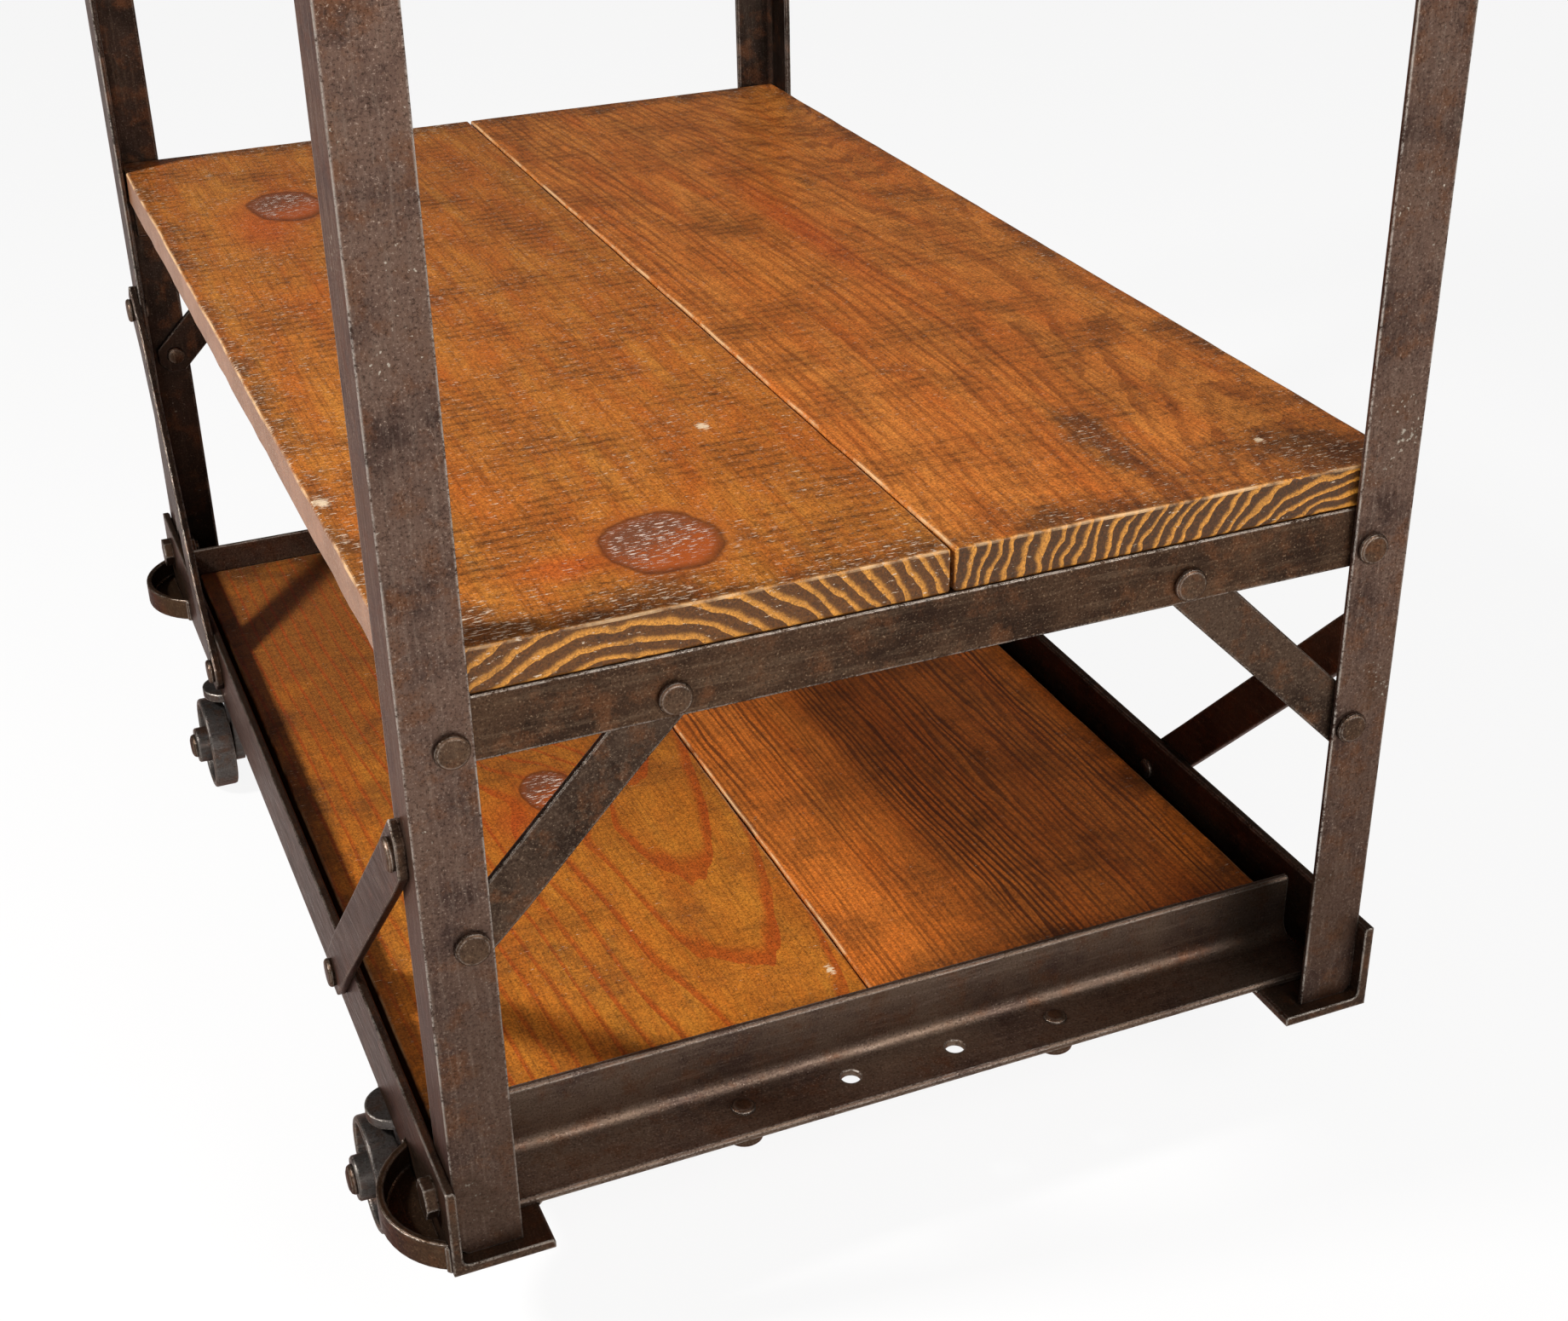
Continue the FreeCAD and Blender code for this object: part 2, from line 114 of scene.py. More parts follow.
def rolled_scale(steel, along, dark, middle, fleck):
    """The colour of old rolled steel, with streaks along one axis of the object."""
    add = steel.add

    # Cloudy tints of about 60 mm, the slow work of damp and hands
    steel.cloud = add(
        "TexNoise", {"Vector": steel.place, "Scale": 1 / (60 * MM), "Detail": 6, "Roughness": 0.65}
    )["Fac"]
    share = add("MapRange", {VALUE: steel.cloud, LOW: 0.36, HIGH: 0.66})[0]
    colour = add(
        "Mix", {SHARE: share, UNDER: linear(dark), OVER: linear(middle)}, data_type="RGBA"
    )[BLEND]

    # Brown rust in patches of about 25 mm
    steel.rust = add(
        "TexNoise", {"Vector": steel.place, "Scale": 1 / (25 * MM), "Detail": 8, "Roughness": 0.72}
    )["Fac"]
    share = add("MapRange", {VALUE: steel.rust, LOW: 0.5, HIGH: 0.64, MOST: 0.65})[0]
    colour = add("Mix", {SHARE: share, UNDER: colour, OVER: linear("#6A442C")}, data_type="RGBA")[BLEND]

    # Streaks of rolling scale, 4 mm across and twelve times as long
    across = 1 / (4 * MM)
    stretch = [across / 12 if axis == along else across for axis in range(3)]
    drawn = add("Mapping", {"Vector": steel.place, "Scale": stretch})[0]
    steel.streak = add("TexNoise", {"Vector": drawn, "Scale": 1, "Detail": 4, "Roughness": 0.65})["Fac"]
    share = add("MapRange", {VALUE: steel.streak, LOW: 0.5, HIGH: 0.8, MOST: 0.22})[0]
    colour = add("Mix", {SHARE: share, UNDER: colour, OVER: linear(fleck)}, data_type="RGBA")[BLEND]

    # The broken scale itself: dark pits, and paler flecks of about 2 mm that are partly scale and partly
    # painted glints
    steel.grain = add(
        "TexNoise", {"Vector": steel.place, "Scale": 1 / grain_size, "Detail": 4, "Roughness": 0.75}
    )["Fac"]
    for low, high, most, tone in ((0.47, 0.37, 0.7, "#221913"), (0.59, 0.7, 0.75, fleck)):
        share = add("MapRange", {VALUE: steel.grain, LOW: low, HIGH: high, MOST: most})[0]
        colour = add("Mix", {SHARE: share, UNDER: colour, OVER: linear(tone)}, data_type="RGBA")[BLEND]
    return colour


print("scale grain", grain_size, "m")

# %% [markdown]
# ## Rubbed edges, painted highlights, old paint and painted shade
# Hands and crates rub the arrises bright, in broken dashes, and the same pale dashes are partly a painted
# highlight on the rounded edges. Old cream paint stays as specks, and painted shade darkens the steel
# towards the floor. Edges could be painted by hand, but a Bevel node finds them from the shape itself:
# its rounded normal differs from the true one only near an edge.

# %% Edges, paint and painted shade
edge_wear_and_highlight_width = 3.2 * MM
speck_size = 4 * MM


def rubbed_and_highlit_edges(steel, colour):
    """Bright dashes along the arrises: rubbed wear, and partly a painted highlight."""
    add = steel.add
    steel.rounded = add("Bevel", {"Radius": edge_wear_and_highlight_width}, samples=6)[0]
    flat = add("NewGeometry", {})["True Normal"]
    same = add("VectorMath", {0: steel.rounded, 1: flat}, operation="DOT_PRODUCT")["Value"]
    edge = add("MapRange", {VALUE: same, LOW: 0.985, HIGH: 0.84, MOST: 0.9})[0]
    broken = add("Math", {0: steel.grain, 1: steel.rust}, operation="ADD")[0]
    dashes = add("MapRange", {VALUE: broken, LOW: 0.88, HIGH: 1.02})[0]
    worn_and_highlit = add("Math", {0: edge, 1: dashes}, operation="MULTIPLY")[0]
    # Near-white edge colour: partly rubbed bare steel, partly a painted highlight
    return add("Mix", {SHARE: worn_and_highlit, UNDER: colour, OVER: linear("#E0D6CA")}, data_type="RGBA")[BLEND]


def paint_and_low_shade(steel, colour, paint):
    """Specks of cream paint, 4 mm across and in clusters, under painted shade that darkens the steel
    towards the bottom.
    """
    add = steel.add
    speck = add(
        "TexNoise", {"Vector": steel.place, "Scale": 1 / speck_size, "Detail": 3, "Roughness": 0.6}
    )["Fac"]
    cluster = add("Math", {0: steel.cloud, 1: speck}, operation="ADD")[0]
    share = add("MapRange", {VALUE: cluster, LOW: 1.24, HIGH: 1.3, MOST: paint})[0]
    colour = add("Mix", {SHARE: share, UNDER: colour, OVER: linear("#D8CCBA")}, data_type="RGBA")[BLEND]
    # Painted shade: darker towards the bottom, broken up by the cloudy tints
    height = add("SeparateXYZ", {0: steel.place})["Z"]
    low_down_shade = add("MapRange", {VALUE: height, LOW: 0.55, HIGH: 0.08, MOST: 0.3})[0]
    low_shade = add("Math", {0: low_down_shade, 1: steel.cloud}, operation="ADD")[0]
    most = 0.5 + 0.3 * paint
    share = add("MapRange", {VALUE: low_shade, LOW: 0.5, HIGH: 0.85, MOST: most})[0]
    return add("Mix", {SHARE: share, UNDER: colour, OVER: linear("#2C1F16")}, data_type="RGBA")[BLEND]


print("edges rubbed over", edge_wear_and_highlight_width, "m, paint specks of", speck_size, "m")

# %% [markdown]
# ## The steel finishes
# An oiled oxide is only partly a mirror, hence the in-between metallic value. To the eye it is a dull
# brown skin with a soft sheen along the rolling streaks and a fine grain in its highlights. The
# bars, the sills, the pockets, the rivets and the castings differ in colour, so one function takes the
# colours and makes them all.

# %% Patinated steel


def patinated_steel(name, along, dark, middle, fleck, paint=0.0, dull=0.42):
    """Hot-rolled steel with an old brown patina."""
    finish = new_finish(name)
    add = partial(add_node, finish)
    steel = SimpleNamespace(add=add, place=add("TexCoord", {})["Object"])
    colour = rolled_scale(steel, along, dark, middle, fleck)
    # Rubbed edges, partly painted highlights
    colour = rubbed_and_highlit_edges(steel, colour)
    # Paint specks, then painted shade that darkens the steel towards the bottom
    colour = paint_and_low_shade(steel, colour, paint)
    rough = add("MapRange", {VALUE: steel.streak, LOW: 0.3, HIGH: 0.75, LEAST: dull, MOST: dull - 0.2})[0]
    bump = add(
        "Bump", {"Strength": 0.6, "Distance": 0.5 * MM, "Height": steel.grain, "Normal": steel.rounded}
    )[0]
    shader = add(
        "BsdfPrincipled",
        {
            "Base Color": colour,
            "Metallic": 0.8,
            # Oxide stays dull and brown where the eye meets it at a flat angle
            "Specular Tint": linear("#AA9186"),
            "Roughness": rough,
            "Normal": bump,
        },
    )[0]
    add("OutputMaterial", {"Surface": shader})
    print(name, len(finish.node_tree.nodes), "nodes")
    return finish


bar_steel = [
    patinated_steel("patinated_steel_x", 0, "#30221A", "#5A4231", "#A88C70"),
    patinated_steel("patinated_steel_y", 1, "#30241D", "#5A473A", "#A88F77"),
    patinated_steel("patinated_steel_z", 2, "#43332D", "#7C6254", "#B8A290", 0.9),
]
# The rear end's steel is painted nearly black, a painted shade where the light falls off at the back
shaded_rear_steel = patinated_steel("patinated_steel_rear_shade", 2, "#201915", "#41342D", "#80705F", 0.3)
sill_steel = patinated_steel("patinated_steel_sill", 0, "#4A3A33", "#86705F", "#C0AA98", 0.0, 0.46)
pocket_steel = patinated_steel("patinated_steel_pocket", 1, "#33241A", "#5E4632", "#A08468")
rivet_steel = patinated_steel("hammered_rivet_steel", 2, "#3C2D24", "#644D3C", "#A0866C")
cast_iron = patinated_steel("rubbed_cast_iron", 0, "#4A4745", "#75716E", "#A19D99")

# %% [markdown]
# ## Stained pine under a clear coat
# The planks are sawn pine, stained amber and varnished. Pine's figure isn't printed on its
# surface: it is the tree's rings, cut by the saw. So the rings are drawn as solid cylinders about a
# pith that runs along each plank, and the board's faces cut them. That way the cathedral arches on
# top, the straight lines on a quarter-sawn plank and the bands of the end grain all agree. A tree is
# never straight, so the pith may bow and the rings wander.

# %% The tree inside a plank
# Sizes across and along the tree over which its rings wander, and how far they do
ring_sway = ((150 * MM, 600 * MM, 26 * MM), (26 * MM, 220 * MM, 5 * MM))


def new_wood(name, board, plank):
    """What every part of a plank's finish needs: its place, which way its faces look, its own numbers."""
    finish = new_finish(name)
    add = partial(add_node, finish)
    place = add("TexCoord", {})["Object"]
    normal = add("NewGeometry", {})["True Normal"]
    wood = SimpleNamespace(finish=finish, add=add, plank=plank, place=place)
    wood.low, wood.high = board
    wood.split = add("SeparateXYZ", {0: place})
    wood.facing = add("SeparateXYZ", {0: normal})
    wood.end_face = add("Math", {0: wood.facing["Y"]}, operation="ABSOLUTE")[0]
    return wood


def tree_place(wood):
    """Place about the pith, with y along the tree."""
    add = wood.add
    plank = wood.plank
    pith_x, depth = plank["pith"]
    bent = add(
        "Mapping",
        {
            "Vector": wood.place,
            "Location": (pith_x, 0, wood.high.z - depth),
            "Rotation": (math.radians(plank["lean"]), 0, math.radians(plank["swing"])),
        },
        vector_type="TEXTURE",
    )[0]
    bow_y, bow = plank["bow"]
    along = add("Math", {0: wood.split["Y"], 1: bow_y}, operation="SUBTRACT")[0]
    squared = add("Math", {0: along, 1: along}, operation="MULTIPLY")[0]
    lift = add("Math", {0: squared, 1: -bow}, operation="MULTIPLY")[0]
    lifted = add("CombineXYZ", {"Z": lift})[0]
    bent = add("VectorMath", {0: bent, 1: lifted}, operation="ADD")[0]

    seeds = [plank["seed"]] * 3
    for wide, long, sway in ring_sway:
        slow = add(
            "Mapping", {"Vector": wood.place, "Location": seeds, "Scale": (1 / wide, 1 / long, 1 / wide)}
        )[0]
        noise = add("TexNoise", {"Vector": slow, "Scale": 1, "Detail": 2})["Color"]
        centred = add("VectorMath", {0: noise, 1: (0.5, 0.5, 0.5)}, operation="SUBTRACT")[0]
        moved = add("VectorMath", {0: centred, "Scale": sway}, operation="SCALE")[0]
        bent = add("VectorMath", {0: bent, 1: moved}, operation="ADD")[0]
    return bent


print("rings wander each way by up to", [sway / 2 for wide, long, sway in ring_sway], "m")

# %% [markdown]
# ## Where the knots are
# A knot is a branch that the trunk grew round, so the rings bend aside near it. Its place is taken
# from the photograph. The distance from a spot, measured in the spot's own half sizes, makes an oval of
# it, and a little noise makes the oval ragged. Resin, burns and chips use the same ovals.

# %% Ovals and knots
knot_ragged = 0.16


def oval(wood, spot):
    """Place about a spot on the top face, and distance from it, in units of the spot's half sizes."""
    x, y, wide, long = spot
    near = wood.add(
        "Mapping",
        {"Vector": wood.place, "Location": (x, y, wood.high.z), "Scale": (wide, long, 1.0)},
        vector_type="TEXTURE",
    )[0]
    return near, wood.add("VectorMath", {0: near}, operation="LENGTH")["Value"]


def knot_places(wood):
    """Finds each knot, and how far all of them push the rings aside."""
    add = wood.add
    ragged = add(
        "TexNoise", {"Vector": wood.place, "Scale": 1 / (38 * MM), "Detail": 1.5, "Roughness": 0.5}
    )["Fac"]
    uneven = add("MapRange", {VALUE: ragged, LEAST: -knot_ragged, MOST: knot_ragged})[0]
    push = 0.0
    wood.knots = []
    for spot in wood.plank["knots"]:
        near, length = oval(wood, spot)
        away = add("Math", {0: length, 1: uneven}, operation="ADD")[0]
        swell = add(
            "MapRange", {VALUE: length, LOW: 2.8, HIGH: 0.4, MOST: 10.0}, interpolation_type="SMOOTHSTEP"
        )[0]
        push = add("Math", {0: push, 1: swell}, operation="ADD")[0]
        wood.knots.append((near, away))
    return push


print("knots are ragged by", knot_ragged, "of their half size")

# %% [markdown]
# ## Year rings
# Each year adds a pale band of early wood and a dark line of late wood. A Wave node draws evenly spaced
# rings, and years differ, so it distorts them. The late wood is a narrow line on the top face and a
# broad band in the end grain, where open fibres drink the stain. A saw-tooth profile lets one
# threshold set that width.

# %% Late wood
wave_pitch = 2 * math.pi / 20  # spacing of a Wave node's bands at scale 1


def year_rings(wood, bent, push):
    """The share of late wood."""
    add = wood.add
    plank = wood.plank
    # The small y scale draws the distortion out along the tree
    drawn_out = add("VectorMath", {0: bent, 1: (1, 0.1, 1)}, operation="MULTIPLY")[0]
    rings = add(
        "TexWave",
        {
            "Vector": drawn_out,
            "Scale": wave_pitch / plank["ring"],
            "Distortion": plank["uneven"],
            "Detail": 2,
            "Detail Scale": 1.2,
            "Phase Offset": push,
        },
        wave_type="RINGS",
        rings_direction="Y",
        wave_profile="SAW",
    )["Fac"]
    line = 1 - plank["line"]
    start = add("MapRange", {VALUE: wood.end_face, LEAST: line - 0.14, MOST: 0.2})[0]
    full = add("MapRange", {VALUE: wood.end_face, LEAST: line + 0.04, MOST: 0.46})[0]
    # Open pores make the bands of the end grain ragged; they are finer than the 2 mm they are drawn at
    wood.pore = add(
        "TexNoise", {"Vector": wood.place, "Scale": 1 / (2 * MM), "Detail": 3, "Roughness": 0.8}
    )["Fac"]
    open_pore = add("MapRange", {VALUE: wood.pore, LOW: 0.25, HIGH: 0.75, LEAST: -0.22, MOST: 0.22})[0]
    ragged = add("Math", {0: open_pore, 1: wood.end_face, 2: rings}, operation="MULTIPLY_ADD")[0]
    return add("MapRange", {VALUE: ragged, LOW: start, HIGH: full}, interpolation_type="SMOOTHSTEP")[0]


print("rings 1 m apart need a scale of", round(wave_pitch, 3))

# %% [markdown]
# ## Colour of the wood
# The stain takes unevenly: flames of a second amber run along the plank, and brown clouds lie over
# them. On the decks the clouds thicken towards the rear, a painted shadow of the shelf above. The late
# wood comes on top, faint where a year was poor. In the end grain it is nearly black on gold. One
# colour for each band would look like a printed board, so each varies.

# %% Early wood
flame_size = 26 * MM
flame_length = 210 * MM


def early_wood(wood):
    """Amber with flames drawn out along the plank, under clouds of brown stain that on a deck thicken
    towards the rear as painted shadow.
    """
    add = wood.add
    plank = wood.plank
    drawn = add(
        "Mapping",
        {
            "Vector": wood.place,
            "Location": (plank["seed"], 0, 0),
            "Scale": (1 / flame_size, 1 / flame_length, 1 / flame_size),
        },
    )[0]
    wood.flame = add("TexNoise", {"Vector": drawn, "Scale": 1, "Detail": 6, "Roughness": 0.65})["Fac"]
    share = add("MapRange", {VALUE: wood.flame, LOW: 0.36, HIGH: 0.66})[0]
    amber = linear(plank["early"])
    colour = add(
        "Mix", {SHARE: share, UNDER: amber, OVER: linear(plank["flame"])}, data_type="RGBA"
    )[BLEND]
    wood.stain = add(
        "TexNoise", {"Vector": wood.place, "Scale": 1 / (90 * MM), "Detail": 7, "Roughness": 0.7}
    )["Fac"]
    # rear thickens the brown towards the back: painted shadow of the shelf above the deck
    rear = add("MapRange", {VALUE: wood.split["Y"], LOW: -0.15, HIGH: 0.35, MOST: plank["rear"]})[0]
    more = add("Math", {0: wood.stain, 1: rear}, operation="ADD")[0]
    share = add("MapRange", {VALUE: more, LOW: 0.46, HIGH: 0.68, MOST: 0.75})[0]
    return add("Mix", {SHARE: share, UNDER: colour, OVER: linear("#744218")}, data_type="RGBA")[BLEND]


print("flames of", flame_size, "by", flame_length, "m")

# %% Late wood over early wood
year_size = 28 * MM
year_length = 700 * MM


def ringed_wood(wood, early, late):
    """Late wood over early wood."""
    add = wood.add
    plank = wood.plank
    end_face = wood.end_face
    years = add(
        "Mapping",
        {
            "Vector": wood.place,
            "Location": (0, 0, plank["seed"]),
            "Scale": (1 / year_size, 1 / year_length, 1 / year_size),
        },
    )[0]
    year = add("TexNoise", {"Vector": years, "Scale": 1, "Detail": 3})["Fac"]
    good_year = add("MapRange", {VALUE: year, LOW: 0.38, HIGH: 0.62, LEAST: plank["years"], MOST: 1.0})[0]
    line = add("Math", {0: late, 1: good_year}, operation="MULTIPLY")[0]
    # A Mix of plain numbers has them at sockets 2 and 3
    band = add("Mix", {SHARE: end_face, 2: line, 3: late}, data_type="FLOAT")[0]
    strength = add("MapRange", {VALUE: end_face, LEAST: plank["figure"], MOST: 0.95})[0]
    share = add("Math", {0: band, 1: strength}, operation="MULTIPLY")[0]
    gold = add("Mix", {SHARE: end_face, UNDER: early, OVER: linear("#CC8A36")}, data_type="RGBA")[BLEND]
    late_tone = linear(plank["late"])
    dark = add(
        "Mix", {SHARE: end_face, UNDER: late_tone, OVER: linear(plank["end"])}, data_type="RGBA"
    )[BLEND]
    return add("Mix", {SHARE: share, UNDER: gold, OVER: dark}, data_type="RGBA")[BLEND]


print("good and poor years change over", year_size, "m")

# %% [markdown]
# ## Saw marks
# The planks were never planed smooth. Torn fibres lie along them, and the mill saw left kerfs across
# them in rows. A Wave node gives the rows, and noise that is stretched across the plank breaks each
# row into dashes. Both also go into the bump, so they catch the light.

# %% Fibres and kerfs
kerf_pitch = 14 * MM


def saw_marks(wood, colour):
    """Fibres along the plank, and rows of kerfs, each in dashes of about 15 mm."""
    add = wood.add
    # Fibres are a few tenths of a millimetre across; they are drawn at 2.2 mm so that they show
    combed = add(
        "Mapping", {"Vector": wood.place, "Scale": (1 / (2.2 * MM), 1 / (90 * MM), 1 / (2.2 * MM))}
    )[0]
    wood.fibre = add("TexNoise", {"Vector": combed, "Scale": 1, "Detail": 4, "Roughness": 0.7})["Fac"]
    share = add("MapRange", {VALUE: wood.fibre, LOW: 0.5, HIGH: 0.62, MOST: 0.5})[0]
    colour = add("Mix", {SHARE: share, UNDER: colour, OVER: linear("#6B3A12")}, data_type="RGBA")[BLEND]

    pitch = wave_pitch / kerf_pitch
    rows = add(
        "TexWave",
        {"Vector": wood.place, "Scale": pitch, "Distortion": 2.2, "Detail": 2, "Detail Scale": 0.8},
        bands_direction="Y",
    )["Fac"]
    sawn = add("Mapping", {"Vector": wood.place, "Scale": (1 / (15 * MM), 1 / (2 * MM), 1 / (8 * MM))})[0]
    dash = add("TexNoise", {"Vector": sawn, "Scale": 1, "Detail": 5, "Roughness": 0.75})["Fac"]
    wood.row = add("MapRange", {VALUE: rows, LEAST: -0.05, MOST: 0.05})[0]
    kerf = add("Math", {0: dash, 1: wood.row}, operation="ADD")[0]
    line = add("MapRange", {VALUE: kerf, LOW: 0.53, HIGH: 0.62})[0]
    wood.patch = add("MapRange", {VALUE: wood.stain, LOW: 0.42, HIGH: 0.62, MOST: wood.plank["kerf"]})[0]
    wood.kerf = add("Math", {0: line, 1: wood.patch}, operation="MULTIPLY")[0]
    return add("Mix", {SHARE: wood.kerf, UNDER: colour, OVER: linear("#3E240C")}, data_type="RGBA")[BLEND]


print("kerf rows", kerf_pitch, "m apart")

# %% [markdown]
# ## Resin, soil and pores
# Resin bleeds out red beside a knot. Hands and crates leave dark soil, most of it along the outer
# edges, at the ends and where something oily stood; at the front-left corner of the left shelf board
# these dark spots are a painted shadow of the near-left post. A vignette would be too even, so
# closeness to an edge only raises the odds in a noise. The open pores and the saw's bands then hold
# more or less of the stain, which gives the top its fine salt and pepper.

# %% Resin and soil
soil_reach = 50 * MM


def resin_and_soil(wood, colour):
    """Resin beside the knots, and soil over the rest, where the dark spots are soil and, at the left
    shelf board's front-left corner, a painted post shadow.
    """
    add = wood.add
    for spot in wood.plank["resin"]:
        length = oval(wood, spot)[1]
        bled = add("Math", {0: wood.flame, 1: 2.0, 2: length}, operation="MULTIPLY_ADD")[0]
        share = add("MapRange", {VALUE: bled, LOW: 1.9, HIGH: 1.1, MOST: 0.6})[0]
        colour = add(
            "Mix", {SHARE: share, UNDER: colour, OVER: linear("#A04014")}, data_type="RGBA"
        )[BLEND]

    wood.soil = add(
        "TexNoise", {"Vector": wood.place, "Scale": 1 / (70 * MM), "Detail": 9, "Roughness": 0.72}
    )["Fac"]
    rim = 0.0
    outer_edge = max(-wood.low.x, wood.high.x)
    for axis, edge, most in ((0, outer_edge, 0.18), (1, wood.high.y, 0.24)):
        outward = add("Math", {0: wood.split[axis]}, operation="ABSOLUTE")[0]
        close = add("MapRange", {VALUE: outward, LOW: edge - soil_reach, HIGH: edge, MOST: most})[0]
        rim = add("Math", {0: rim, 1: close}, operation="MAXIMUM")[0]
    # Dark spots: soil, and at the left shelf board's front-left corner a painted shadow of the near-left
    # post
    for spot in wood.plank["soil_and_shadow_spots"]:
        length = oval(wood, spot)[1]
        soil_and_shadow = add("MapRange", {VALUE: length, LOW: 1.0, HIGH: 0.2, MOST: 0.3})[0]
        rim = add("Math", {0: rim, 1: soil_and_shadow}, operation="MAXIMUM")[0]
    wood.soiled = add("Math", {0: wood.soil, 1: rim}, operation="ADD")[0]
    share = add("MapRange", {VALUE: wood.soiled, LOW: 0.56, HIGH: 0.76, MOST: 0.7})[0]
    top_only = add("MapRange", {VALUE: wood.end_face, LOW: 0.2, HIGH: 0.6, LEAST: 1.0, MOST: 0.3})[0]
    share = add("Math", {0: share, 1: top_only}, operation="MULTIPLY")[0]
    return add("Mix", {SHARE: share, UNDER: colour, OVER: linear("#38200F")}, data_type="RGBA")[BLEND]


print("soil reaches", soil_reach, "m in from the edges")

# %% Open pores
pore_tones = (0.34, 1.66)


def open_pores(wood, colour):
    """Lighter and darker tones from the pores and the saw's bands."""
    add = wood.add
    least, most = pore_tones
    band = add("Math", {0: wood.row, 1: wood.patch}, operation="MULTIPLY")[0]
    banded = add("Math", {0: wood.pore, 1: band}, operation="SUBTRACT")[0]
    tone = add("MapRange", {VALUE: banded, LOW: 0.3, HIGH: 0.7, LEAST: least, MOST: most})[0]
    return add("VectorMath", {0: colour, "Scale": tone}, operation="SCALE")[0]


print("pores tone the wood from", *pore_tones)

# %% [markdown]
# ## Scratches, painted glints, knots and bare wood
# Scratches break the varnish and show white, most of them where the soil is, and their fine white dots
# are partly painted glints of the rough grain. A knot has a red heart in a thin dark ring of bark, with
# grey torn wood over the half nearer the rear. Chips and the long edges show wood that took less stain,
# and the top arris is paler, partly rubbed and partly a painted highlight. A painted picture could do
# all this, but the same noises place it here, so it lies where the wear is.

# %% Scratches
scratch_size = (9 * MM, 2 * MM, 3 * MM)


def scratches_and_glints(wood, colour):
    """Pale scratches across the plank, partly painted glints."""
    add = wood.add
    scuff = wood.plank["scuff"]
    torn = add("Mapping", {"Vector": wood.place, "Scale": [1 / size for size in scratch_size]})[0]
    wood.scratch = add("TexNoise", {"Vector": torn, "Scale": 1, "Detail": 4, "Roughness": 0.7})["Fac"]
    where = add(
        "MapRange", {VALUE: wood.soiled, LOW: 0.4, HIGH: 0.8, LEAST: scuff, MOST: scuff + 0.09}
    )[0]
    less = add("Math", {0: wood.end_face, 1: -0.07, 2: where}, operation="MULTIPLY_ADD")[0]
    scratched = add("Math", {0: wood.scratch, 1: less}, operation="ADD")[0]
    # Pale dots and dashes: real scratches, and partly painted glints
    wood.bare = add("MapRange", {VALUE: scratched, LOW: 0.67, HIGH: 0.71, MOST: 0.7})[0]
    return add("Mix", {SHARE: wood.bare, UNDER: colour, OVER: linear("#DCC8B0")}, data_type="RGBA")[BLEND]


print("scratches of", scratch_size, "m")

# %% Knots
# Where a knot's layer starts, where it is full, how much it covers, and its tone: glow, bark, heart
knot_layers = ((1.3, 1.0, 0.4, "#94481A"), (1.02, 0.94, 0.7, "#3E1C0E"), (0.94, 0.7, 0.95, "#9A4A1B"))


def knot_colour(wood, colour):
    """The layers of each knot, and its torn half."""
    add = wood.add
    share = add("MapRange", {VALUE: wood.scratch, LOW: 0.56, HIGH: 0.62})[0]
    torn = add(
        "Mix", {SHARE: share, UNDER: linear("#583A2A"), OVER: linear("#EADCCE")}, data_type="RGBA"
    )[BLEND]
    for near, away in wood.knots:
        for start, full, most, tone in knot_layers:
            share = add("MapRange", {VALUE: away, LOW: start, HIGH: full, MOST: most})[0]
            colour = add(
                "Mix", {SHARE: share, UNDER: colour, OVER: linear(tone)}, data_type="RGBA"
            )[BLEND]
        rear = add("VectorMath", {0: near, 1: (-0.35, 0.8, 0)}, operation="DOT_PRODUCT")["Value"]
        half = add("Math", {0: wood.scratch, 1: 3.0, 2: rear}, operation="MULTIPLY_ADD")[0]
        half_share = add("MapRange", {VALUE: half, LOW: 1.1, HIGH: 1.7, MOST: 0.85})[0]
        share = add("Math", {0: share, 1: half_share}, operation="MULTIPLY")[0]
        colour = add("Mix", {SHARE: share, UNDER: colour, OVER: torn}, data_type="RGBA")[BLEND]
    return colour


print("knot layers", len(knot_layers))

# %% Bare wood
edge_tone = "#7C543A"
# Colour of the top arris: partly rubbed wood, partly a painted highlight
arris_highlight_tone = "#D8B080"


def bare_wood(wood, colour):
    """Chips, the long edges, and the top arris, which is partly rubbed and partly a painted highlight."""
    add = wood.add
    facing = wood.facing
    for spot in wood.plank["chips"]:
        length = oval(wood, spot)[1]
        chip = add("Math", {0: wood.scratch, 1: 3.0, 2: length}, operation="MULTIPLY_ADD")[0]
        share = add("MapRange", {VALUE: chip, LOW: 2.1, HIGH: 1.9, MOST: 0.85})[0]
        colour = add(
            "Mix", {SHARE: share, UNDER: colour, OVER: linear("#D9C4A4")}, data_type="RGBA"
        )[BLEND]
    outer = add("Math", {0: facing["X"], 1: wood.split["X"]}, operation="MULTIPLY")[0]
    share = add("MapRange", {VALUE: outer, LOW: 0.2, HIGH: 0.34, MOST: 0.75})[0]
    colour = add("Mix", {SHARE: share, UNDER: colour, OVER: linear(edge_tone)}, data_type="RGBA")[BLEND]
    # The top arris is lightened: partly rubbed wood, partly a painted highlight where light catches it
    level = add("MapRange", {VALUE: facing["Z"], LOW: 0.985, HIGH: 0.9})[0]
    above = add("MapRange", {VALUE: facing["Z"], LOW: 0.1, HIGH: 0.3, MOST: 0.75})[0]
    arris_highlight = add("Math", {0: level, 1: above}, operation="MULTIPLY")[0]
    chipped = add("MapRange", {VALUE: wood.stain, LOW: 0.44, HIGH: 0.56})[0]
    share = add("Math", {0: arris_highlight, 1: chipped}, operation="MULTIPLY")[0]
    return add("Mix", {SHARE: share, UNDER: colour, OVER: linear(arris_highlight_tone)}, data_type="RGBA")[BLEND]


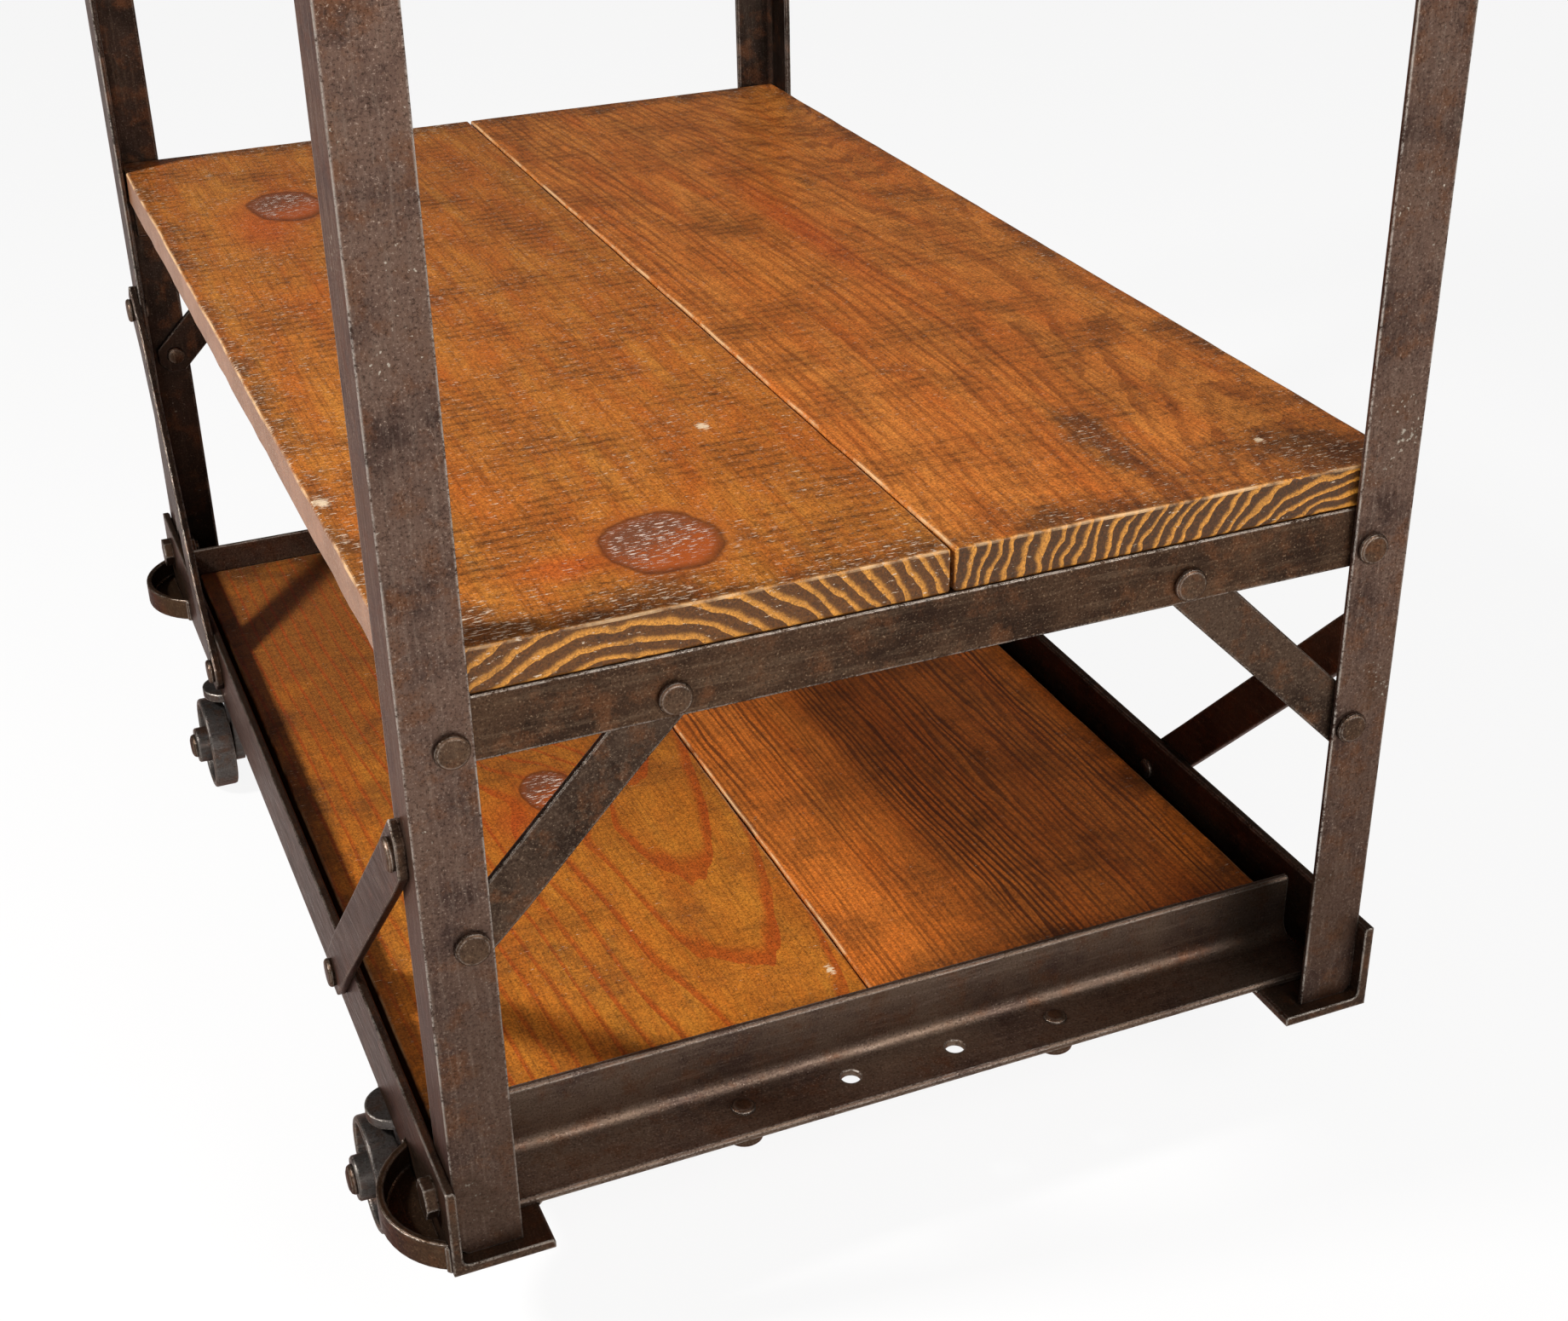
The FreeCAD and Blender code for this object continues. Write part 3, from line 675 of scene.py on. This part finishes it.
print("long edges", edge_tone, "arris_highlight", arris_highlight_tone)

# %% [markdown]
# ## The whole plank finish
# The parts are put together in the order in which they happened to the wood: it grew, was sawn, was
# soiled and was scratched. To the eye it is warm amber with a low, broken gloss: the thin varnish is
# worn, so its coat is weak and the roughness follows the soil.

# %% Stained pine


def stained_pine(name, board, plank):
    """Pine whose rings lie about a pith line, stained and thinly varnished."""
    wood = new_wood(name, board, plank)
    add = wood.add
    late = year_rings(wood, tree_place(wood), knot_places(wood))
    colour = ringed_wood(wood, early_wood(wood), late)
    for part in (saw_marks, resin_and_soil, open_pores, scratches_and_glints, knot_colour, bare_wood):
        colour = part(wood, colour)
    height = add("Math", {0: wood.kerf, 1: -0.7, 2: wood.fibre}, operation="MULTIPLY_ADD")[0]
    height = add("Math", {0: wood.bare, 1: 0.8, 2: height}, operation="MULTIPLY_ADD")[0]
    bump = add("Bump", {"Strength": 0.5, "Distance": 0.5 * MM, "Height": height})[0]
    rough = add("MapRange", {VALUE: wood.soil, LOW: 0.3, HIGH: 0.7, LEAST: 0.4, MOST: 0.58})[0]
    shader = add(
        "BsdfPrincipled",
        {
            "Base Color": colour,
            "Roughness": rough,
            "IOR": 1.36,
            "Coat Weight": 0.05,
            "Coat Roughness": 0.18,
            "Normal": bump,
        },
    )[0]
    add("OutputMaterial", {"Surface": shader})
    print(name, len(wood.finish.node_tree.nodes), "nodes")
    return wood.finish


# %% [markdown]
# ## Making a piece
# Every new piece is a bmesh that is shaped with operators and then becomes an object at the
# origin, so that its pattern sits on it the same way in any pose. It rides on a body of the frame
# and stands for the plain solids that it replaces. Smooth shading alone would bend the light on a
# flat bar towards its rounded edges, so a Weighted Normal modifier lets the large faces decide.

# %% From a bmesh to a piece
sharp_angle = math.radians(38)


def make_piece(name, shape, finish, nodes, body="frame"):
    """Turns a finished bmesh into a piece that rides on a body and stands for CAD nodes."""
    bmesh.ops.recalc_face_normals(shape, faces=shape.faces)
    mesh = bpy.data.meshes.new(name)
    shape.to_mesh(mesh)
    shape.free()
    mesh.shade_smooth()
    mesh.set_sharp_from_angle(angle=sharp_angle)
    mesh.materials.append(finish)
    piece = bpy.data.objects.new(name, mesh)
    bpy.context.scene.collection.objects.link(piece)
    weighted = piece.modifiers.new("flat_faces_first", "WEIGHTED_NORMAL")
    weighted.keep_sharp = True
    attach(piece, body)
    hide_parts(*nodes)
    print(name, len(mesh.polygons), "faces for", len(nodes), "nodes")


# %% [markdown]
# ## Planks
# Each level has a pair of planks with a narrow seam. A saw leaves their arrises sharp, but years of
# crates have worn and rounded them. So each plank is a cube at the solid's size, its edges are cut
# into short lengths that give way inwards by a part of a millimetre, and then they are bevelled.

# %% The shape of a plank
wear = random.Random(5)
wear_depth = 0.9 * MM
plank_arris = 2.5 * MM
sharp_edge = math.radians(30)


def edges_along(shape, axis):
    """The edges of a box that run along one axis."""
    found = []
    for edge in shape.edges:
        run = (edge.verts[0].co - edge.verts[1].co).normalized()
        if abs(run[axis]) > 0.99:
            found.append(edge)
    return found


def plank_shape(board):
    """A plank with worn arrises that fills its solid's box."""
    low, high = board
    middle = (low + high) / 2
    shape = bmesh.new()
    bmesh.ops.create_cube(shape, size=1.0)
    bmesh.ops.scale(shape, vec=high - low, verts=shape.verts)
    bmesh.ops.translate(shape, vec=middle, verts=shape.verts)
    for axis, cuts in ((0, 12), (1, 40)):
        bmesh.ops.subdivide_edges(shape, edges=edges_along(shape, axis), cuts=cuts, use_grid_fill=True)
    for vert in shape.verts:
        for axis in range(2):
            if min(abs(vert.co[axis] - low[axis]), abs(vert.co[axis] - high[axis])) < 0.1 * MM:
                inward = 1 if vert.co[axis] < middle[axis] else -1
                vert.co[axis] += inward * wear_depth * wear.random() ** 2
    arrises = [edge for edge in shape.edges if edge.calc_face_angle() > sharp_edge]
    bmesh.ops.bevel(
        shape, geom=arrises, offset=plank_arris, segments=3, profile=0.5, affect="EDGES", material=-1
    )
    return shape


print("arrises worn by up to", wear_depth, "m and rounded at", plank_arris, "m")

# %% [markdown]
# ## Six planks from different trees
# No two planks are cut alike. The pith's place decides the figure: under the middle of a plank it gives
# arches, far to one side it gives straight lines. The numbers below were found by laying renders
# beside the photograph, which shows the middle shelf and the deck. The top shelf repeats their kind.

# %% Planks
# pith is its x and its depth under the top face, lean and swing tilt it in degrees, and bow is the y
# of its middle and its rise per square metre. ring is the rings' spacing, and line is the share of it
# that is late wood. uneven, years and figure say how the rings vary and how strongly they show; kerf,
# rear and scuff, how much the saw, the painted shadow towards the rear, and the scratches and painted
# glints do. Spots are x, y and two half sizes in metres.
plain_plank = {
    "bow": (0.0, 0.0), "line": 0.3, "figure": 0.4, "kerf": 0.5, "years": 0.3, "rear": 0.0, "scuff": 0.0,
    "end": "#4C2A08", "resin": [], "soil_and_shadow_spots": [], "chips": [], "knots": [],
}
plank_figure = {
    "shelf_board_left": {
        "seed": 3.1, "pith": (-0.25, 0.14), "lean": 0.6, "swing": 0.8, "ring": 12 * MM, "uneven": 3.5,
        "figure": 0.35, "kerf": 0.75, "years": 0.2, "scuff": 0.03,
        "early": "#AC6D29", "flame": "#A0541B", "late": "#8A4412",
        "resin": [(-0.25, -0.545, 0.06, 0.03), (-0.29, 0.33, 0.05, 0.12)],
        # These front-left spots are a painted shadow of the near-left post
        "soil_and_shadow_spots": [(-0.36, -0.62, 0.13, 0.07), (-0.2, -0.61, 0.08, 0.04)],
        "chips": [(-0.073, -0.348, 0.009, 0.012), (-0.384, -0.364, 0.01, 0.014)],
        "knots": [(-0.176, -0.536, 0.047, 0.053), (-0.256, 0.391, 0.04, 0.055)],
    },
    "shelf_board_right": {
        "seed": 8.4, "pith": (0.345, 0.17), "lean": 0.0, "swing": 0.0, "ring": 10.5 * MM, "uneven": 5.5,
        "figure": 0.6, "kerf": 0.55, "bow": (-0.13, 0.21),
        "early": "#BC7430", "flame": "#AE5C20", "late": "#6E3510", "end": "#2E1806",
        "resin": [(0.2, 0.1, 0.03, 0.3)],
        "soil_and_shadow_spots": [(0.34, -0.6, 0.13, 0.09), (0.2, -0.52, 0.04, 0.1)],
        "chips": [(0.31, -0.56, 0.006, 0.008)],
    },
    # The decks' rear values paint the shelf's shadow as darker stain towards the back
    "deck_board_left": {
        "seed": 5.7, "pith": (-0.08, 0.106), "lean": 5.7, "swing": 0.0, "ring": 15 * MM, "uneven": 2.0,
        "line": 0.15, "figure": 0.85, "kerf": 0.3, "years": 0.7, "rear": 0.3, "scuff": -0.04,
        "early": "#A86A22", "flame": "#A25818", "late": "#923C10",
        "resin": [(-0.19, -0.13, 0.07, 0.08)],
        "chips": [(-0.02, -0.47, 0.006, 0.01)],
        "knots": [(-0.155, -0.09, 0.03, 0.04)],
    },
    "deck_board_right": {
        "seed": 2.2, "pith": (0.75, 0.30), "lean": 0.3, "swing": 0.4, "ring": 6 * MM, "uneven": 6.0,
        "line": 0.4, "figure": 0.9, "kerf": 0.2, "years": 0.25, "rear": 0.08, "scuff": -0.04,
        "early": "#BC6A26", "flame": "#B05A1C", "late": "#4A210C",
    },
    "top_board_left": {
        "seed": 6.3, "pith": (-0.1, 0.12), "lean": 1.5, "swing": -0.8, "ring": 12 * MM, "uneven": 4.0,
        "bow": (0.1, 0.1), "early": "#B9792C", "flame": "#B35E1C", "late": "#7E3E12",
        "knots": [(-0.22, 0.21, 0.035, 0.045)],
    },
    "top_board_right": {
        "seed": 9.9, "pith": (0.3, 0.2), "lean": 0.8, "swing": 1.0, "ring": 10 * MM, "uneven": 4.0,
        "early": "#B2722A", "flame": "#AE5A1A", "late": "#6E3510", "end": "#3A2008",
    },
}
for node, figure in plank_figure.items():
    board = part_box(node)
    finish = stained_pine("stained_pine_" + node, board, {**plain_plank, **figure})
    make_piece("plank_" + node, plank_shape(board), finish, [node])

# %% [markdown]
# ## Bars and straps
# The angle bars, braces, pockets and brackets already have their real outlines in the solids, so drawing
# them again would only add errors. A solid's mesh is loose triangles, so a copy is merged, its flat
# faces are joined again, and the arrises are rounded by the millimetre that rolling and handling leave.
# The sills get a rounder root between their legs, and the bars of the rear end a darker steel that is
# painted shade.

# %% A softened copy of a solid
merge_gap = 0.01 * MM


def softened_copy(node, radius):
    """A merged copy of a solid, with its sharp edges rounded."""
    shape = bmesh.new()
    shape.from_mesh(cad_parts[node].data)
    bmesh.ops.remove_doubles(shape, verts=shape.verts, dist=merge_gap)
    bmesh.ops.dissolve_limit(shape, angle_limit=math.radians(1), verts=shape.verts, edges=shape.edges)
    sharp = [edge for edge in shape.edges if edge.is_manifold and edge.calc_face_angle() > sharp_edge]
    bmesh.ops.bevel(
        shape, geom=sharp, offset=radius, segments=2, profile=0.5,
        affect="EDGES", material=-1, clamp_overlap=True,
    )
    return shape


def long_axis(node):
    """The axis along which a node is longest."""
    low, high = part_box(node)
    spans = list(high - low)
    return spans.index(max(spans))


print("a front post runs along axis", long_axis("post_front_left"))

# %% The sills' roots
sill_thickness = 6 * MM
sill_root = 10 * MM
root_growth = 1.4
root_slack = 0.05 * MM


def widened_root(node, shape):
    """A sill with a rounder root between its legs, because the photograph's highlight there is wide."""
    low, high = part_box(node)
    outward = -1 if "front" in node else 1
    heel = high.y if outward < 0 else low.y
    corner = (heel + outward * sill_thickness, low.z + sill_thickness)
    moved = 0
    for vert in shape.verts:
        flat = outward * (vert.co.y - corner[0])
        upright = vert.co.z - corner[1]
        if min(flat, upright) > -root_slack and max(flat, upright) < sill_root + root_slack:
            vert.co.y = corner[0] + outward * flat * root_growth
            vert.co.z = corner[1] + upright * root_growth
            moved += 1
    print(node, "root points moved", moved)
    return shape


# %% Bars
bar_kinds = ("post_front", "base_rail", "deck_bearer", "shelf_rail", "top_rail")
bar_arris = 1.4 * MM
strap_arris = 1.2 * MM
for node in sorted(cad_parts):
    if node.startswith(bar_kinds):
        shape = softened_copy(node, bar_arris)
        make_piece("bar_" + node, shape, bar_steel[long_axis(node)], [node])
    elif node.startswith("base_sill"):
        shape = widened_root(node, softened_copy(node, bar_arris))
        make_piece("bar_" + node, shape, sill_steel, [node])
    # Rear posts get the nearly black steel, a painted shade at the back
    elif node.startswith("post_rear"):
        make_piece("bar_" + node, softened_copy(node, bar_arris), shaded_rear_steel, [node])
    elif node.startswith(("end_brace", "side_brace")):
        # Rear braces get it too, the same painted shade
        finish = shaded_rear_steel if "rear" in node else bar_steel[1]
        make_piece("flat_" + node, softened_copy(node, strap_arris), finish, [node])

# %% Pockets and brackets
shape = softened_copy("corner_pockets", strap_arris)
make_piece("bent_pockets", shape, pocket_steel, ["corner_pockets"])
shape = softened_copy("wheel_brackets", strap_arris)
make_piece("hanger_brackets", shape, cast_iron, ["wheel_brackets"])

# %% [markdown]
# ## Rivets
# A rivet goes in hot and its tail is hammered flat, so no two heads are quite alike. Several rivets share
# one node of the frame, so a helper first finds the box of each separate solid. A copied solid would
# have flat sides, so each rivet is spun from half a section and then turned and squashed a little.

# %% Where the separate solids are


def solids_of(node):
    """The lowest and highest corner of each separate solid in a node."""
    shape = bmesh.new()
    shape.from_mesh(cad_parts[node].data)
    bmesh.ops.remove_doubles(shape, verts=shape.verts, dist=merge_gap)
    waiting = set(shape.verts)
    boxes = []
    while waiting:
        island = [waiting.pop()]
        for vert in island:
            for edge in vert.link_edges:
                other = edge.other_vert(vert)
                if other in waiting:
                    waiting.remove(other)
                    island.append(other)
        low = Vector([min(vert.co[axis] for vert in island) for axis in range(3)])
        high = Vector([max(vert.co[axis] for vert in island) for axis in range(3)])
        boxes.append((low, high))
    shape.free()
    return sorted(boxes, key=lambda box: tuple(box[0]))


print("brace rivets", len(solids_of("brace_rivets")))

# %% Spinning a section
turn_steps = 28


def spun(profile):
    """A half section of (radius, height) points, spun once round the z axis."""
    shape = bmesh.new()
    verts = [shape.verts.new((radius, 0, height)) for radius, height in profile]
    edges = [shape.edges.new(pair) for pair in zip(verts, verts[1:])]
    bmesh.ops.spin(
        shape, geom=verts + edges, axis=(0, 0, 1), cent=(0, 0, 0),
        angle=2 * math.pi, steps=turn_steps, use_merge=True,
    )
    bmesh.ops.remove_doubles(shape, verts=shape.verts, dist=0.1 * merge_gap)
    return shape


def outward_turn(axis, sign):
    """A rotation that takes z to one axis of the object."""
    outward = Vector((0, 0, 0))
    outward[axis] = sign
    return Vector((0, 0, 1)).rotation_difference(outward).to_matrix().to_4x4()


def add_shape(shape, one):
    """Adds one finished bmesh to another."""
    carrier = bpy.data.meshes.new("carrier")
    one.to_mesh(carrier)
    one.free()
    shape.from_mesh(carrier)
    bpy.data.meshes.remove(carrier)


print("a spin has", turn_steps, "steps")

# %% Rivets
hand = random.Random(11)
shank_radius = 6 * MM
tail_height = 4.0 * MM
tail_radius = 10.5 * MM
flat_head = 5.5 * MM
sill_head = 10 * MM


def rivet_profile(radius, head, grip):
    """Half a rivet: a flat head with a rolled rim, the shank, and a hammered tail."""
    return [
        (0, head * 0.95),
        (radius * 0.55, head),
        (radius * 0.84, head * 0.97),
        (radius * 0.95, head * 0.78),
        (radius, head * 0.45),
        (radius * 0.93, 0),
        (shank_radius, 0),
        (shank_radius, -grip),
        (tail_radius, -grip),
        (tail_radius * 0.97, -grip - tail_height * 0.5),
        (tail_radius * 0.75, -grip - tail_height * 0.9),
        (0, -grip - tail_height),
    ]


for node in ("shelf_rivets", "top_rivets", "brace_rivets", "sill_rivets"):
    shape = bmesh.new()
    for low, high in solids_of(node):
        span = high - low
        middle = (low + high) / 2
        axis = 0 if abs(span.x - span.z) > abs(span.y - span.z) else 1
        sign = 1 if middle[axis] > 0 else -1
        head = flat_head
        if node == "sill_rivets":
            axis, sign, head = 2, -1, sill_head
        one = spun(rivet_profile(span[(axis + 1) % 3] / 2, head, span[axis] - head - tail_height))
        seat = middle.copy()
        seat[axis] = (high[axis] if sign > 0 else low[axis]) - sign * head
        squash = Matrix.Diagonal((hand.uniform(0.95, 1.0), hand.uniform(0.95, 1.0), 1.0, 1.0))
        turn = Matrix.Rotation(math.radians(hand.uniform(0, 360)), 4, "Z")
        placed = Matrix.Translation(seat) @ outward_turn(axis, sign) @ turn @ squash
        bmesh.ops.transform(one, matrix=placed, verts=one.verts)
        add_shape(shape, one)
    make_piece("hammered_" + node, shape, rivet_steel, [node])

# %% [markdown]
# ## Wheels and axles
# The wheels are small iron castings with a rim, a sunk web and a long hub, and each turns on its own
# pin with a domed end. A turned form is a spin, so the section is drawn once with its corners already
# rounded, and spun about the axle.

# %% Wheels
bore = 10.05 * MM
rim = 25 * MM
web = 11 * MM
hub = 20 * MM


def set_on_axle(shape, low, high):
    """Stands a spun shape on the inner end of a box, pointing out from the rack's side."""
    middle = (low + high) / 2
    sign = 1 if middle.x > 0 else -1
    seat = Vector((low.x if sign > 0 else high.x, middle.y, middle.z))
    bmesh.ops.transform(shape, matrix=Matrix.Translation(seat) @ outward_turn(0, sign), verts=shape.verts)


for wheel in sorted(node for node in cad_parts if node.startswith(("wheel_front", "wheel_rear"))):
    low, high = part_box(wheel)
    radius = (high.z - low.z) / 2
    depth = high.x - low.x
    shape = spun(
        [
            (bore, 0),
            (radius - 2.5 * MM, 0),
            (radius - 0.7 * MM, 0.8 * MM),
            (radius, 2.6 * MM),
            (radius, rim - 2.6 * MM),
            (radius - 0.8 * MM, rim - 0.8 * MM),
            (radius - 2.4 * MM, rim),
            (radius - 5.2 * MM, rim),
            (radius - 6.5 * MM, rim - 1.2 * MM),
            (radius - 7.5 * MM, web + 4 * MM),
            (radius - 10.5 * MM, web),
            (hub + 5 * MM, web),
            (hub + 1 * MM, web + 2 * MM),
            (hub, web + 6 * MM),
            (hub - 0.6 * MM, depth - 1.5 * MM),
            (hub - 2 * MM, depth),
            (bore, depth),
            (bore, 0),
        ]
    )
    set_on_axle(shape, low, high)
    make_piece("cast_" + wheel, shape, cast_iron, [wheel], body=wheel)

# %% Axles
pin = 10 * MM
cap = 13 * MM
cap_height = 6 * MM
shape = bmesh.new()
for low, high in solids_of("axles"):
    length = high.x - low.x
    one = spun(
        [
            (0, 0),
            (pin - 0.8 * MM, 0),
            (pin, 0.8 * MM),
            (pin, length - cap_height),
            (cap, length - cap_height),
            (cap, length - 4.2 * MM),
            (cap - 1.4 * MM, length - 2 * MM),
            (cap - 5 * MM, length - 0.5 * MM),
            (0, length),
        ]
    )
    set_on_axle(one, low, high)
    add_shape(shape, one)
make_piece("turned_axles", shape, rivet_steel, ["axles"])

# %% [markdown]
# ## Small iron
# Washers, nuts, hexagon bolts and weld beads keep their solids' places, with rounded edges and the same
# steel as the rivets. They are too small in the picture to be drawn again.

# %% Small iron
nut_arris = 0.8 * MM
bead_round = 1.0 * MM
for node in ("thrust_washers", "axle_nuts", "sill_washers", "post_bolts", "post_nuts"):
    make_piece("small_" + node, softened_copy(node, nut_arris), rivet_steel, [node])
for node in ("bracket_welds", "sill_welds", "pocket_welds"):
    make_piece("bead_" + node, softened_copy(node, bead_round), rivet_steel, [node])

# %% [markdown]
# ## Floor
# The rack stands on a white studio floor, which is a plain pale sheet that catches the shadow. Lamps
# strong enough to make it white would bleach the rack. So eyes and shiny metal see a floor that is
# partly white by itself, and it stays pale far from the lamps.

# %% The floor and its paper
floor_reach = 14  # metres each way
floor_shape = bmesh.new()
bmesh.ops.create_grid(floor_shape, x_segments=1, y_segments=1, size=floor_reach)
floor_mesh = bpy.data.meshes.new("studio_floor")
floor_shape.to_mesh(floor_mesh)
floor_shape.free()
floor = bpy.data.objects.new("studio_floor", floor_mesh)
bpy.context.scene.collection.objects.link(floor)

# Matt paper, which gives the eye an even white with the faintest clouds of 300 mm
paper = new_finish("studio_paper")
add = partial(add_node, paper)
place = add("TexCoord", {})["Object"]
cloud = add("TexNoise", {"Vector": place, "Scale": 1 / (300 * MM), "Detail": 4})["Fac"]
colour = add(
    "Mix", {SHARE: cloud, UNDER: linear("#DEDAD8"), OVER: linear("#E8E5E3")}, data_type="RGBA"
)[BLEND]
matt = add("BsdfPrincipled", {"Base Color": colour, "Roughness": 0.8})[0]
ray = add("LightPath", {})
seen = add("Math", {0: ray["Is Camera Ray"], 1: ray["Is Glossy Ray"]}, operation="ADD")[0]
seen = add("Math", {0: seen, 1: ray["Is Transmission Ray"]}, operation="ADD", use_clamp=True)[0]
share = add("Math", {0: seen, 1: 0.9}, operation="MULTIPLY")[0]
white = add("Emission", {"Color": linear("#FFFFFF"), "Strength": 1.0})[0]
sheet = add("MixShader", {0: share, 1: matt, 2: white})[0]
add("OutputMaterial", {"Surface": sheet})
floor_mesh.materials.append(paper)
print("floor", 2 * floor_reach, "m square")

# %% [markdown]
# ## Light
# The shadows in the photograph fall to the right, so a small key lamp stands on the left, about 40
# degrees up, and gives them a fairly firm edge. Two large soft boxes in front keep the near faces
# from going black, and a weak white sky fills the rest. A sun's shadows would be too hard.

# %% Lamps
world = bpy.data.worlds.new("studio")
bpy.context.scene.world = world
world.use_nodes = True
sky = world.node_tree.nodes["Background"]
sky.inputs["Color"].default_value = linear("#FFFFFF")
sky.inputs["Strength"].default_value = 0.12


def soft_lamp(name, place, aim, size, power):
    """A square soft box at a place, turned to a point."""
    lamp = bpy.data.lights.new(name, "AREA")
    lamp.size = size
    lamp.energy = power
    holder = bpy.data.objects.new(name, lamp)
    bpy.context.scene.collection.objects.link(holder)
    holder.location = place
    holder.rotation_euler = (Vector(aim) - Vector(place)).to_track_quat("-Z", "Y").to_euler()
    print(name, power, "W,", size, "m")


# Place, aim and size are in metres, power in watts
soft_lamp("key_left", (-2.6, -0.2, 2.5), (0, 0, 0.4), 0.35, 140)
soft_lamp("fill_front_left", (-1.2, -3.2, 1.4), (0, 0, 0.4), 1.2, 28)
soft_lamp("fill_front_right", (1.1, -3.0, 2.2), (0, 0, 0.3), 1.8, 78)

# %% [markdown]
# ## Camera
# The camera stands where the photograph's own perspective puts it. Its place, turn and lens were found by
# matching the rack's straight edges to the photograph, which is surer than moving it by eye.

# %% Camera
photo_width = 1840
focal_pixels = 2588.1
yaw = math.radians(22.199)
pitch = math.radians(28.781)
roll = math.radians(1.184)
eye = Vector((-0.6348, -1.8858, 1.3163))
ahead = Vector((math.sin(yaw) * math.cos(pitch), math.cos(yaw) * math.cos(pitch), -math.sin(pitch)))
level_right = Vector((math.cos(yaw), -math.sin(yaw), 0))
level_down = ahead.cross(level_right)
right = level_right * math.cos(roll) + level_down * math.sin(roll)
down = level_down * math.cos(roll) - level_right * math.sin(roll)
lens = bpy.data.cameras.new("photo_camera")
lens.sensor_fit = "HORIZONTAL"
lens.sensor_width = 36
lens.lens = focal_pixels * lens.sensor_width / photo_width
camera = bpy.data.objects.new("photo_camera", lens)
bpy.context.scene.collection.objects.link(camera)
turn = Matrix((right, -down, -ahead)).transposed()
camera.matrix_world = Matrix.Translation(eye) @ turn.to_4x4()
bpy.context.scene.camera = camera
bpy.context.scene.view_settings.view_transform = "Standard"
print("lens", round(lens.lens, 2), "mm")
